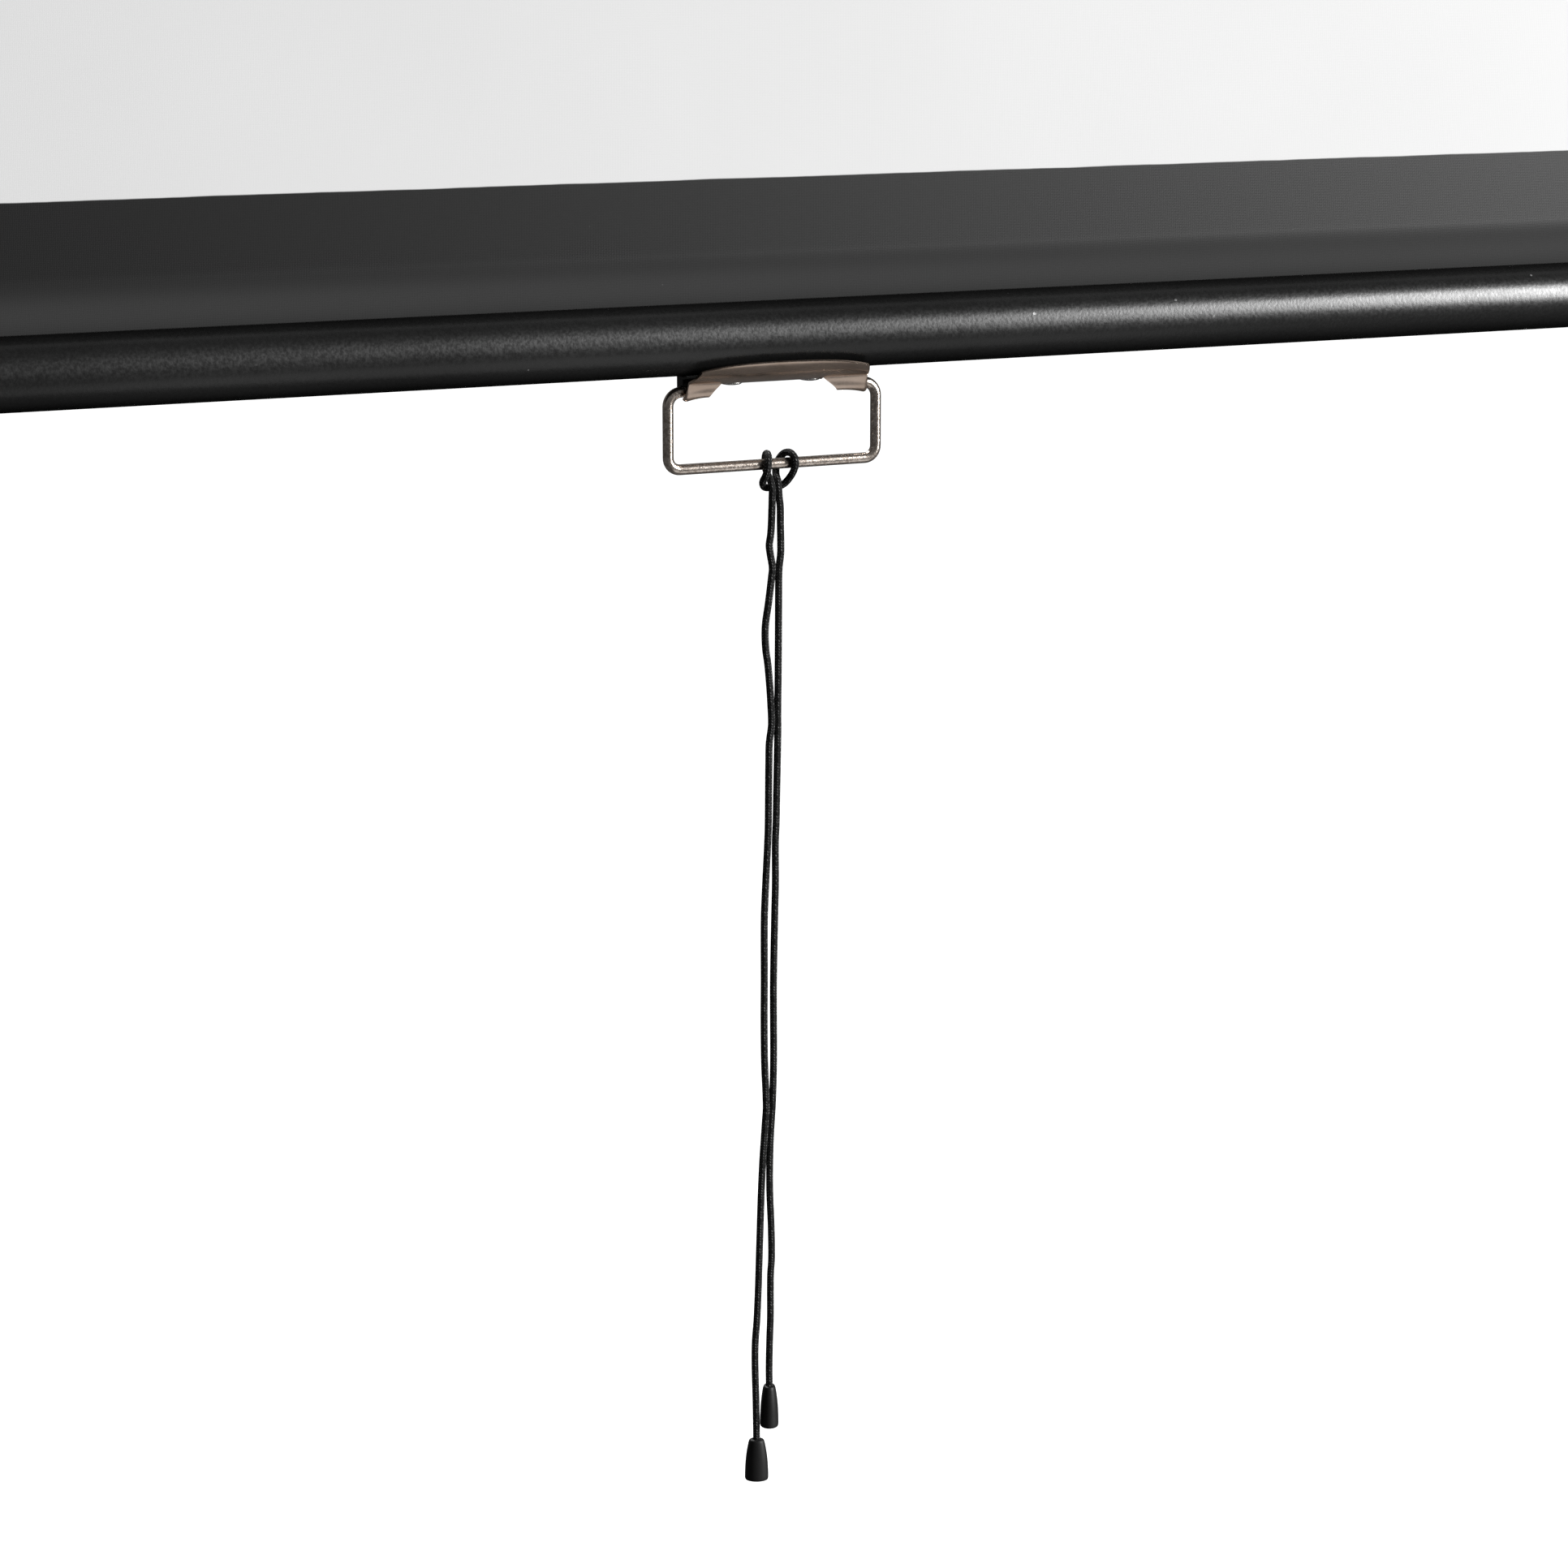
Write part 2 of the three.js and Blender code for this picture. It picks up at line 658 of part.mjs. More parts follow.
function makeSpringEndPlug() {
  const flange = rodX(tubeRadius, plugOut - plugFlange, plugOut, 0, 0, 40);
  const barrel = rodX(plugRadius, plugOut - plugFlange / 2, plugIn, 0, 0, 40);
  const collar = rodX(springRadius, plugIn - plugEndWall / 2, collarTo);
  const lockBore = rodX(lockCoreRadius + runGap, plugOut - plugFlange - cutOver, plugFloor, 0, 0, 40);
  const spindleBore = rodX(spindleRadius + runGap, plugOut, collarTo + cutOver);
  const groove = ballTrack(plugOut - plugFlange - cutOver, lockBallX + lockShift, 0);
  return cut(join(flange, barrel, collar), lockBore, spindleBore, groove);
}
addPiece(roller, "spring_end_plug", makeSpringEndPlug(), mouldedBlack);

function makeLockCore() {
  const core = ringX(lockCoreRadius, spindleRadius + seatGap, coreFrom, coreTo);
  const track = new THREE.TorusGeometry(ballPitchRadius, ballRadius + seatGap, 10, 40);
  const tools = [track.rotateY(Math.PI / 2).translate(lockBallX, 0, 0)];
  for (let pocket = 0; pocket < lockPockets; pocket += 1) {
    tools.push(ballTrack(lockBallX - lockShift, lockBallX, (2 * Math.PI * pocket) / lockPockets));
  }
  return cut(core, ...tools);
}
addPiece(roller, "lock_core", makeLockCore(), mouldedBlack);

const lockBall = addPiece(roller, "lock_ball", new THREE.SphereGeometry(ballRadius, 14, 10), springSteel);
lockBall.position.set(lockBallX, 0, -ballPitchRadius);

function makeSpindle() {
  const rod = rodX(spindleRadius, spindleFrom, spindleTo);
  const tangFrom = -capInner - capPocketDepth + seatGap;
  const tangRod = rodX(spindleRadius, tangFrom, spindleFrom + spindleRadius);
  const slabLow = [tangFrom - cutOver, -spindleRadius, -tangThick / 2];
  const slab = block(slabLow, [spindleTo, spindleRadius, tangThick / 2]);
  const pinX = (anchorFrom + anchorTo) / 2;
  const pinHole = rodZ(anchorPinRadius + seatGap, -springRadius, springRadius, pinX, 0);
  return cut(join(rod, common(tangRod, slab)), pinHole);
}
addPiece(roller, "spindle", makeSpindle(), zincSteel);

function makeSpringAnchor() {
  const collar = ringX(springRadius, spindleRadius + seatGap, anchorFrom, anchorTo);
  const pinX = (anchorFrom + anchorTo) / 2;
  return cut(collar, rodZ(anchorPinRadius + seatGap, -springRadius - cutOver, springRadius + cutOver, pinX, 0));
}
addPiece(roller, "spring_anchor", makeSpringAnchor(), zincSteel);

const anchorPinX = (anchorFrom + anchorTo) / 2;
const anchorPin = rodZ(anchorPinRadius, -anchorPinLength / 2, anchorPinLength / 2, anchorPinX, 0);
addPiece(roller, "anchor_pin", anchorPin, springSteel);
const torsionSpring = ringX(springRadius, springRadius - springWire, collarTo + seatGap, anchorFrom - seatGap);
addPiece(roller, "torsion_spring", torsionSpring, springSteel);
addPiece(roller, "spindle_guide", ringX(plugRadius, spindleRadius + runGap, guideFrom, guideTo), mouldedBlack);

// Idle end of the roller, on the right: plug, pin and the bushing in its bracket
const idleOut = tubeHalf + seatGap;
const shoulderFrom = idleOut + plugFlange + seatGap;
const bushFrom = steelInner - seatGap - bushFlange;
const idlePinFrom = idleOut - plugDepth + seatGap;
const idlePinTo = caseHalf + bushReach;

function makeIdlePlug() {
  const flange = rodX(tubeRadius, idleOut, idleOut + plugFlange, 0, 0, 40);
  const barrel = rodX(plugRadius, idleOut - plugDepth, idleOut + plugFlange / 2, 0, 0, 40);
  const bore = rodX(idlePinRadius + seatGap, idlePinFrom, idleOut + plugFlange + cutOver);
  return cut(join(flange, barrel), bore);
}
addPiece(roller, "idle_plug", makeIdlePlug(), mouldedBlack);

const idleShaft = rodX(idlePinRadius, idlePinFrom + seatGap, idlePinTo);
const idleCollar = rodX(idleShoulderRadius, shoulderFrom, shoulderFrom + idleShoulder);
addPiece(roller, "idle_pin", join(idleShaft, idleCollar), zincSteel);

function makeIdleBushing() {
  const flange = rodX(bushFlangeRadius, bushFrom, bushFrom + bushFlange);
  const barrel = rodX(bushRadius, bushFrom + bushFlange / 2, idlePinTo);
  return cut(join(flange, barrel), rodX(idlePinRadius + seatGap, bushFrom - cutOver, idlePinTo + cutOver));
}
addPiece(roller, "idle_bushing", makeIdleBushing(), mouldedBlack);

// Screen fabric, hanging from the wall side of the roll into the slot of the bottom bar
const hemRodDrop = barRadius - barWall - seatGap - hemRodRadius; // above the bar's axis
const sheetFoot = barAt.z + hemRodDrop + hemRodRadius + seatGap;
const sheetFront = barAt.y - fabricThick / 2;
const sheet = block([-fabricHalf, sheetFront, sheetFoot], [fabricHalf, sheetFront + fabricThick, rollerAt.z]);
addPiece(screen, "screen_sheet", sheet, screenWhite);

// Bottom bar and what it holds, measured from the bar's axis
const bar = addGroup(screen, barAt);
const handleScrewXs = {
  left: handleScrewMiddle - handleScrewSpacing / 2,
  right: handleScrewMiddle + handleScrewSpacing / 2,
};

function makeBottomBar() {
  const tube = ringX(barRadius, barRadius - barWall, -barHalf, barHalf, 48);
  const half = barSlotWidth / 2;
  const slot = block([-barHalf - cutOver, -half, 0], [barHalf + cutOver, half, barRadius + cutOver]);
  const holes = Object.values(handleScrewXs).map((x) =>
    rodZ(handleScrewRadius + seatGap, -barRadius - cutOver, 0, x, 0),
  );
  return cut(tube, slot, ...holes);
}
addPiece(bar, "bottom_bar", makeBottomBar(), powderBlack);

const hemHalf = barHalf - barCapDepth - seatGap;
addPiece(bar, "hem_rod", rodX(hemRodRadius, -hemHalf, hemHalf, 0, hemRodDrop, 12), zincSteel);

function makeBarCap() {
  const out = barHalf + seatGap;
  const flange = rodX(barCapRadius, out, out + barCapFlange, 0, 0, 48);
  const crown = out + barCapFlange + barCapCrown;
  const rim = rodX(barCapRadius - barCapRim, out + barCapFlange / 2, crown, 0, 0, 48);
  const plug = rodX(barRadius - barWall - seatGap, barHalf - barCapDepth, out + barCapFlange / 2, 0, 0, 40);
  return join(flange, rim, plug);
}
addPiece(bar, "right_bar_cap", makeBarCap(), mouldedBlack);
addPiece(bar, "left_bar_cap", mirrored(makeBarCap()), mouldedBlack);

// Handle plate: a lip curved round the bar's front, a flange under it, and a curled tab at each end
const lipSlantShare = 0.93; // of the plate's outer radius, where the lip's ends begin to slant
const lipRightShares = [0.7, 0.62]; // a place on the arch, along the half length and up from the corner
const lipLeftShares = [0.6, 0.8];
function lipOutline() {
  const low = -plateOuter - cutOver;
  const rightRise = THREE.MathUtils.lerp(lipRightHeight, lipCrownHeight, lipRightShares[1]);
  const leftRise = THREE.MathUtils.lerp(lipLeftHeight, lipCrownHeight, lipLeftShares[1]);
  const arch = new THREE.CatmullRomCurve3([
    new THREE.Vector3(lipCornerHalf, lipRightHeight, 0),
    new THREE.Vector3(lipRightShares[0] * lipCornerHalf, rightRise, 0),
    new THREE.Vector3(lipCrownX, lipCrownHeight, 0),
    new THREE.Vector3(-lipLeftShares[0] * lipCornerHalf, leftRise, 0),
    new THREE.Vector3(-lipCornerHalf, lipLeftHeight, 0),
  ]);
  const top = arch.getPoints(16).map((point) => [point.x, point.y]);
  const half = plateHalf - tabTaper;
  const shoulder = lipSlantShare * plateOuter;
  return outlineOf([[-half, low], [half, low], [half, -shoulder], ...top, [-half, -shoulder]]);
}

function makeLip() {
  const profile = new THREE.Shape();
  const inner = plateOuter - plateSteel;
  profile.moveTo(flangeBack, -plateOuter);
  profile.absarc(0, 0, plateOuter, -Math.PI / 2, -Math.PI, true);
  profile.absarc(0, 0, inner, -Math.PI, -Math.PI / 2, false);
  profile.lineTo(flangeBack, -inner);
  profile.closePath();
  const bent = prismX(profile, -plateHalf, plateHalf, 24);
  return common(bent, prismY(lipOutline(), -plateOuter - cutOver, flangeBack + cutOver));
}

// A tab's outer face at its outer and its inner end, as places in Y and Z from the plate's fold to its foot
const tabFoldTurn = THREE.MathUtils.degToRad(17);
const tabRootTurn = THREE.MathUtils.degToRad(30);
const tabRootShare = 0.3; // how deep in the lip's steel the tab's root lies
const tabRootRadius = plateOuter - tabRootShare * plateSteel;
const tabRoot = [-tabRootRadius * Math.sin(tabRootTurn), -tabRootRadius * Math.cos(tabRootTurn)];
const tabFold = [-plateOuter * Math.sin(tabFoldTurn), -plateOuter * Math.cos(tabFoldTurn)];
const tabCurlShares = [
  [0, 0],
  [0.1, 0.24],
  [0.4, 0.56],
  [0.55, 0.84],
  [1, 1],
];
function tabEdge(foot) {
  const curl = tabCurlShares.map(([back, down]) => [
    THREE.MathUtils.lerp(tabFold[0], foot[0], back),
    THREE.MathUtils.lerp(tabFold[1], foot[1], down),
  ]);
  return [tabRoot, ...curl];
}

function makeTab(side) {
  const outerEdge = tabEdge([-tabFront, -tabDrop]);
  const innerEdge = tabEdge([-tabInnerFront, -tabInnerDrop]);
  const flangeEnd = windowHalf + side * windowMiddle;
  const footEnd = windowFootHalf + side * windowFootMiddle;
  const last = outerEdge.length - 1;
  const across = 4;
  const corners = [];
  for (let column = 0; column <= across; column += 1) {
    const u = column / across;
    const face = outerEdge.map((place, row) => {
      const v = Math.max(row - 1, 0) / (last - 1);
      const innerX = THREE.MathUtils.lerp(flangeEnd, footEnd, v);
      const x = THREE.MathUtils.lerp(innerX, plateHalf - tabTaper * (1 - v), u);
      const y = THREE.MathUtils.lerp(innerEdge[row][0], place[0], u);
      const z = THREE.MathUtils.lerp(innerEdge[row][1], place[1], u);
      return new THREE.Vector3(x, y, z);
    });
    face.forEach((point, row) => {
      const before = face[Math.max(row - 1, 0)];
      const after = face[Math.min(row + 1, last)];
      const inward = new THREE.Vector3(0, before.z - after.z, after.y - before.y).normalize();
      const thick = row === 0 ? tabRootShare * plateSteel : plateSteel;
      corners.push({ outer: point, inner: point.clone().addScaledVector(inward, thick) });
    });
  }
  const rows = last + 1;
  const positions = [];
  function quad(a, b, c, d) {
    for (const point of [a, b, c, a, c, d]) {
      positions.push(point.x, point.y, point.z);
    }
  }
  for (let column = 0; column < across; column += 1) {
    for (let row = 0; row < last; row += 1) {
      const [a, b] = [corners[column * rows + row], corners[column * rows + row + 1]];
      const [d, c] = [corners[(column + 1) * rows + row], corners[(column + 1) * rows + row + 1]];
      quad(a.outer, b.outer, c.outer, d.outer);
      quad(d.inner, c.inner, b.inner, a.inner);
    }
    for (const row of [0, last]) {
      const a = corners[column * rows + row];
      const d = corners[(column + 1) * rows + row];
      if (row === 0) {
        quad(a.outer, d.outer, d.inner, a.inner);
      } else {
        quad(a.inner, d.inner, d.outer, a.outer);
      }
    }
  }
  for (let row = 0; row < last; row += 1) {
    const [a, b] = [corners[row], corners[row + 1]];
    const [d, c] = [corners[across * rows + row], corners[across * rows + row + 1]];
    quad(a.inner, b.inner, b.outer, a.outer);
    quad(d.outer, c.outer, c.inner, d.inner);
  }
  const tab = new THREE.BufferGeometry();
  tab.setAttribute("position", new THREE.BufferAttribute(new Float32Array(positions), 3));
  return side > 0 ? tab : mirrored(tab);
}

function makeHandlePlate() {
  const low = -plateOuter - cutOver;
  const tools = [];
  for (const side of [-1, 1]) {
    const ends = [windowMiddle + side * windowHalf, side * (plateHalf + cutOver)].sort((a, b) => a - b);
    tools.push(block([ends[0], tabFold[0] / 2, low], [ends[1], flangeBack + cutOver, 0]));
  }
  for (const x of Object.values(handleScrewXs)) {
    tools.push(rodZ(handleScrewRadius + seatGap, low, 0, x, 0));
  }
  return join(cut(makeLip(), ...tools), makeTab(-1), makeTab(1));
}
addPiece(bar, "handle_plate", makeHandlePlate(), nickelPlate);

// Saddle: a moulded strip between bar and plate, with an ear over each turned in end of the bail
function makeSaddle() {
  const reach = barRadius + seatGap;
  const strip = common(
    rodX(reach + saddleThick, -saddleHalf, saddleHalf, 0, 0, 64),
    block([-saddleHalf, -saddleDepth, -2 * reach], [saddleHalf, saddleDepth, 0]),
  );
  const tools = [rodX(reach, -saddleHalf - cutOver, saddleHalf + cutOver, 0, 0, 64)];
  const ears = [];
  for (const side of [-1, 1]) {
    const ends = [side * earInner, side * saddleHalf].sort((a, b) => a - b);
    ears.push(block([ends[0], -earFront, -earDrop], [ends[1], saddleDepth, -barRadius / 2]));
    const boreEnds = [side * (earInner - cutOver), side * (saddleHalf + cutOver)].sort((a, b) => a - b);
    tools.push(rodX(bailWire / 2 + seatGap, boreEnds[0], boreEnds[1], 0, -bailPivotDrop));
  }
  for (const x of Object.values(handleScrewXs)) {
    tools.push(rodZ(handleScrewRadius + seatGap, -2 * reach, 0, x, 0));
  }
  return cut(join(strip, ...ears), ...tools);
}
addPiece(bar, "handle_saddle", makeSaddle(), mouldedBlack);

for (const [word, x] of Object.entries(handleScrewXs)) {
  const shank = plateOuter + seatGap - barRadius + barWall + handleScrewReach;
  const shape = screwShape(handleScrewRadius, shank, handleHeadRadius, handleHeadHeight, 20);
  const screw = addPiece(bar, word + "_handle_screw", shape, zincSteel);
  screw.position.set(x, 0, -plateOuter - seatGap);
}

// Bail: a loop of round wire from one turned in end to the other
class BailCurve extends THREE.CurvePath {
  constructor() {
    super();
    const corner = (x, z, dx, dz, radius) => new THREE.Vector3(x + dx * radius, 0, z + dz * radius);
    const at = (x, z) => new THREE.Vector3(x, 0, z);
    const low = -bailDrop;
    let from = at(-bailEnd, 0);
    const turns = [
      [-bailHalf, 0, 1, 0, 0, -1],
      [-bailHalf, low, 0, 1, 1, 0],
      [bailHalf, low, -1, 0, 0, 1],
      [bailHalf, 0, 0, -1, -1, 0],
    ];
    const armShare = 0.5523; // of the radius: a cubic curve with such arms is a quarter circle
    for (const [x, z, inX, inZ, outX, outZ] of turns) {
      const radius = z === 0 ? bailUpperCorner : bailLowerCorner;
      const start = corner(x, z, inX, inZ, radius);
      const end = corner(x, z, outX, outZ, radius);
      const armIn = corner(x, z, inX * (1 - armShare), inZ * (1 - armShare), radius);
      const armOut = corner(x, z, outX * (1 - armShare), outZ * (1 - armShare), radius);
      this.add(new THREE.LineCurve3(from, start));
      this.add(new THREE.CubicBezierCurve3(start, armIn, armOut, end));
      from = end;
    }
    this.add(new THREE.LineCurve3(from, at(bailEnd, 0)));
  }
}

function roundSection(radius, sides) {
  const places = [];
  for (let side = 0; side < sides; side += 1) {
    const turn = (2 * Math.PI * (side + 0.5)) / sides;
    places.push([radius * Math.cos(turn), radius * Math.sin(turn)]);
  }
  return outlineOf(places);
}

function tubeAlong(path, radius, sides, steps) {
  return new THREE.ExtrudeGeometry(roundSection(radius, sides), { extrudePath: path, steps });
}

const bail = addGroup(bar, new THREE.Vector3(0, 0, -bailPivotDrop));
addPiece(bail, "bail", tubeAlong(new BailCurve(), bailWire / 2, 12, 84), nickelPlate);

// Pull cord, hitched on the bail's lower bar
const cord = addGroup(bail, new THREE.Vector3(0, 0, -bailDrop));

function routeCurve(route) {
  return new THREE.CatmullRomCurve3(route.map((place) => new THREE.Vector3(...place)), false, "centripetal");
}

// The least gap between stretches of cord that lie further apart along it than they do through the air
function leastGap(curves) {
  const apart = 2 * cordDiameter;
  const marks = [];
  curves.forEach((curve, which) => {
    const length = curve.getLength();
    const count = Math.ceil(length / (cordDiameter / 4));
    curve.getSpacedPoints(count).forEach((point, index) => {
      const along = (index * length) / count;
      marks.push({ point, along: which === 0 ? along : -along });
    });
  });
  let least = Infinity;
  for (const a of marks) {
    for (const b of marks) {
      if (Math.abs(a.along - b.along) > apart) {
        least = Math.min(least, a.point.distanceTo(b.point) - cordDiameter);
      }
    }
  }
  return least;
}

const leftHitch = routeCurve(leftHitchRoute);
const rightHitch = routeCurve(rightHitchRoute);
const leftFall = routeCurve(leftFallRoute);
const rightFall = routeCurve(rightFallRoute);
const cordRadius = cordDiameter / 2;
const cordRuns = [leftHitch, rightHitch, leftFall, rightFall];
const cordLength = cordRuns.reduce((sum, run) => sum + run.getLength(), 0);
console.log("cord length " + cordLength.toFixed(1) + " mm");
console.log("least gap in the hitch " + leastGap([leftHitch, rightHitch]).toFixed(2) + " mm");
addPiece(cord, "cord_left_hitch", tubeAlong(leftHitch, cordRadius, 8, hitchSteps), cordBlack);
addPiece(cord, "cord_right_hitch", tubeAlong(rightHitch, cordRadius, 8, hitchSteps), cordBlack);
addPiece(cord, "cord_left_fall", tubeAlong(leftFall, cordRadius, 8, leftFallSteps), cordBlack);
addPiece(cord, "cord_right_fall", tubeAlong(rightFall, cordRadius, 8, rightFallSteps), cordBlack);

// Cord ends: oval bells, bored for the cord above and hollow below round its stopper knot
const bellOuterShares = [
  [0.56, 0],
  [0.64, 0.03],
  [0.75, 0.16],
  [0.86, 0.33],
  [0.94, 0.53],
  [1, 0.9],
  [0.96, 1],
];
const bellHollowShare = 0.6;

function makeBell() {
  const half = bellWide / 2;
  const profile = bellOuterShares.map(([out, down]) => new THREE.Vector2(out * half, -down * bellHeight));
  const hollow = bellHollowShare * half;
  const bore = cordRadius + seatGap;
  profile.unshift(new THREE.Vector2(0, 0));
  profile.push(new THREE.Vector2(hollow, -bellHeight));
  profile.push(new THREE.Vector2(hollow, -bellBore));
  profile.push(new THREE.Vector2(0, -bellBore));
  profile.reverse();
  const bell = new THREE.LatheGeometry(profile, 24).rotateX(Math.PI / 2).scale(1, bellNarrow / bellWide, 1);
  return cut(bell, rodZ(bore, -bellBore - cutOver, cutOver, 0, 0));
}

function addCordEnd(word, route, turn) {
  const [x, y, foot] = route[route.length - 1];
  const top = foot + bellBore + 2 * seatGap;
  const bell = addPiece(cord, "cord_" + word + "_bell", makeBell(), mouldedBlack);
  bell.position.set(x, y, top);
  bell.rotation.z = turn;
  const knot = addPiece(cord, "cord_" + word + "_knot", new THREE.SphereGeometry(knotRadius, 12, 8), cordBlack);
  knot.position.set(x, y, foot - seatGap - knotRadius);
}
addCordEnd("left", leftFallRoute, -bellTurn);
addCordEnd("right", rightFallRoute, Math.PI / 2 - bellTurn);

export default screen;
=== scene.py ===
import json
import math

import bmesh
import bpy
import numpy as np
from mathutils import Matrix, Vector


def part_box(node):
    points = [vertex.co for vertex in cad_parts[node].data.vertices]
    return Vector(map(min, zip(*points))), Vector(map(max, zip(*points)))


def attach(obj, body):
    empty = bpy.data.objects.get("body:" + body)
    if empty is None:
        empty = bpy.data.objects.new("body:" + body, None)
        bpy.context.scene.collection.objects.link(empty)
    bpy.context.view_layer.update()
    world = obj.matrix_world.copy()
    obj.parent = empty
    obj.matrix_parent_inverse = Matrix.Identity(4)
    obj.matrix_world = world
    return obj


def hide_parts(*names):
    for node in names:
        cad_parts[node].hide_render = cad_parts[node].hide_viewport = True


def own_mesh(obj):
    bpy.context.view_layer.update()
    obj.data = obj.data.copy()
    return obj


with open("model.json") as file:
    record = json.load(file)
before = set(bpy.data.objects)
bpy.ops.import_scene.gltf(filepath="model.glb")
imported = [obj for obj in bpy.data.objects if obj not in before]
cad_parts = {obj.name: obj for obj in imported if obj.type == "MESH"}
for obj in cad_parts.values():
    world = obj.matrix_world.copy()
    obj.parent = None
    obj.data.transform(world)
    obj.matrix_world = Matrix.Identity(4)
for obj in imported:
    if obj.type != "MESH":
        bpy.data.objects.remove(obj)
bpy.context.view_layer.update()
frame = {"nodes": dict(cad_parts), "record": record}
mm = 0.001  # every size below is in millimetres, times this

bodyOf = {
    node: body
    for body, nodes in frame["record"]["behaviour"]["bodies"].items()
    for node in nodes
}
slotOf = {part["node"]: part["material_slot"] for part in frame["record"]["subparts"]}

# The bar's axis: most places below are measured from it
barLow, barHigh = (np.array(corner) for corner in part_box("bottom_bar"))
barRadius = (barHigh[1] - barLow[1]) / 2
barHalf = barHigh[0]
barAxis = np.array([0.0, (barLow[1] + barHigh[1]) / 2, barLow[2] + barRadius])


# Camera: at the photograph's angle, on the handle
camera = {
    "lens": 93.2,
    "sensor": 36.0,
    "near": 50.0,
    "far": 200000.0,
    "yaw": 24.68,  # degrees to the object's right
    "pitch": 12.67,  # degrees downwards
    "fromBar": (-612.5, -1342.6, 164.5),
}


def makeCamera():
    data = bpy.data.cameras.new("camera")
    data.lens = camera["lens"]
    data.sensor_width = camera["sensor"]
    data.clip_start = camera["near"] * mm
    data.clip_end = camera["far"] * mm
    eye = bpy.data.objects.new("camera", data)
    eye.location = Vector(barAxis) + Vector(camera["fromBar"]) * mm
    yaw, pitch = math.radians(camera["yaw"]), math.radians(camera["pitch"])
    ahead = (math.sin(yaw) * math.cos(pitch), math.cos(yaw) * math.cos(pitch), -math.sin(pitch))
    eye.rotation_mode = "QUATERNION"
    eye.rotation_quaternion = Vector(ahead).to_track_quat("-Z", "Y")
    bpy.context.scene.collection.objects.link(eye)
    bpy.context.scene.camera = eye


makeCamera()
print("camera placed")


# Node trees: short ways to add nodes and feed them
def addNode(tree, kind, values=None, **settings):
    made = tree.nodes.new(kind)
    for key, value in settings.items():
        setattr(made, key, value)
    for key, value in (values or {}).items():
        feed(tree, made.inputs[key], value)
    return made


def feed(tree, socket, value):
    if isinstance(value, bpy.types.NodeSocket):
        tree.links.new(value, socket)
    elif isinstance(value, bpy.types.Node):
        tree.links.new(value.outputs[0], socket)
    else:
        socket.default_value = value


def maths(tree, operation, first, second=0.0, third=0.0):
    values = {0: first, 1: second, 2: third}
    return addNode(tree, "ShaderNodeMath", values, operation=operation)


def times(tree, *factors):
    product = factors[0]
    for factor in factors[1:]:
        product = maths(tree, "MULTIPLY", product, factor)
    return product


def noise(tree, place, scale, **settings):
    values = {"Vector": place, "Scale": scale, **settings}
    return addNode(tree, "ShaderNodeTexNoise", values).outputs["Fac"]


def ramp(tree, value, low, high, outLow=0.0, outHigh=1.0, smooth=True):
    values = {"Value": value, "From Min": low, "From Max": high, "To Min": outLow, "To Max": outHigh}
    kind = "SMOOTHSTEP" if smooth else "LINEAR"
    return addNode(tree, "ShaderNodeMapRange", values, interpolation_type=kind)


# A Mix node's colours go in at 6 and 7 and come out at 2
def mixColour(tree, share, first, second):
    made = addNode(tree, "ShaderNodeMix", data_type="RGBA")
    feed(tree, made.inputs[0], share)
    feed(tree, made.inputs[6], first)
    feed(tree, made.inputs[7], second)
    return made.outputs[2]


def grey(value):
    return (value, value, value, 1.0)


# A node group whose inputs and outputs are numbers, apart from the place
def startGroup(name, inputs, outputs):
    group = bpy.data.node_groups.new(name, "ShaderNodeTree")
    for way, labels in (("INPUT", inputs), ("OUTPUT", outputs)):
        for label in labels:
            kind = "NodeSocketVector" if label == "Vector" else "NodeSocketFloat"
            group.interface.new_socket(label, in_out=way, socket_type=kind)
    source = group.nodes.new("NodeGroupInput")
    sink = group.nodes.new("NodeGroupOutput")
    return group, source.outputs, sink.inputs


def useGroup(tree, group, **values):
    made = tree.nodes.new("ShaderNodeGroup")
    made.node_tree = group
    for key, value in values.items():
        feed(tree, made.inputs[key], value)
    return made.outputs


# Dust: small round specks in some cells of a random pattern
def makeDustGroup():
    group, source, sink = startGroup("dust", ["Vector", "Cells", "Share", "Size"], ["Mask"])
    values = {"Vector": source["Vector"], "Scale": source["Cells"]}
    cells = addNode(group, "ShaderNodeTexVoronoi", values)
    near = maths(group, "LESS_THAN", cells.outputs["Distance"], source["Size"])
    parts = addNode(group, "ShaderNodeSeparateColor", {"Color": cells.outputs["Color"]})
    chosen = maths(group, "LESS_THAN", parts.outputs[0], source["Share"])
    feed(group, sink["Mask"], times(group, near, parts.outputs[1], chosen))
    return group


# Mottle: soft cloudy patches over finer grain, from 0 to 1
mottle = {
    "patch": {"Detail": 3.0, "Roughness": 0.6},
    "patchRange": (0.3, 0.7),
    "grain": {"Detail": 2.0, "Roughness": 0.55},
    "grainRange": (0.25, 0.75),
}


def makeMottleGroup():
    group, source, sink = startGroup("mottle", ["Vector", "Patches", "Grain"], ["Patch", "Grain"])
    patches = noise(group, source["Vector"], source["Patches"], **mottle["patch"])
    grain = noise(group, source["Vector"], source["Grain"], **mottle["grain"])
    feed(group, sink["Patch"], ramp(group, patches, *mottle["patchRange"]))
    feed(group, sink["Grain"], ramp(group, grain, *mottle["grainRange"], smooth=False))
    return group


# Weave: threads over and under each other, two crossed waves that take turns to show
weaveTurn = 0.3  # the waves' product at which one has taken over


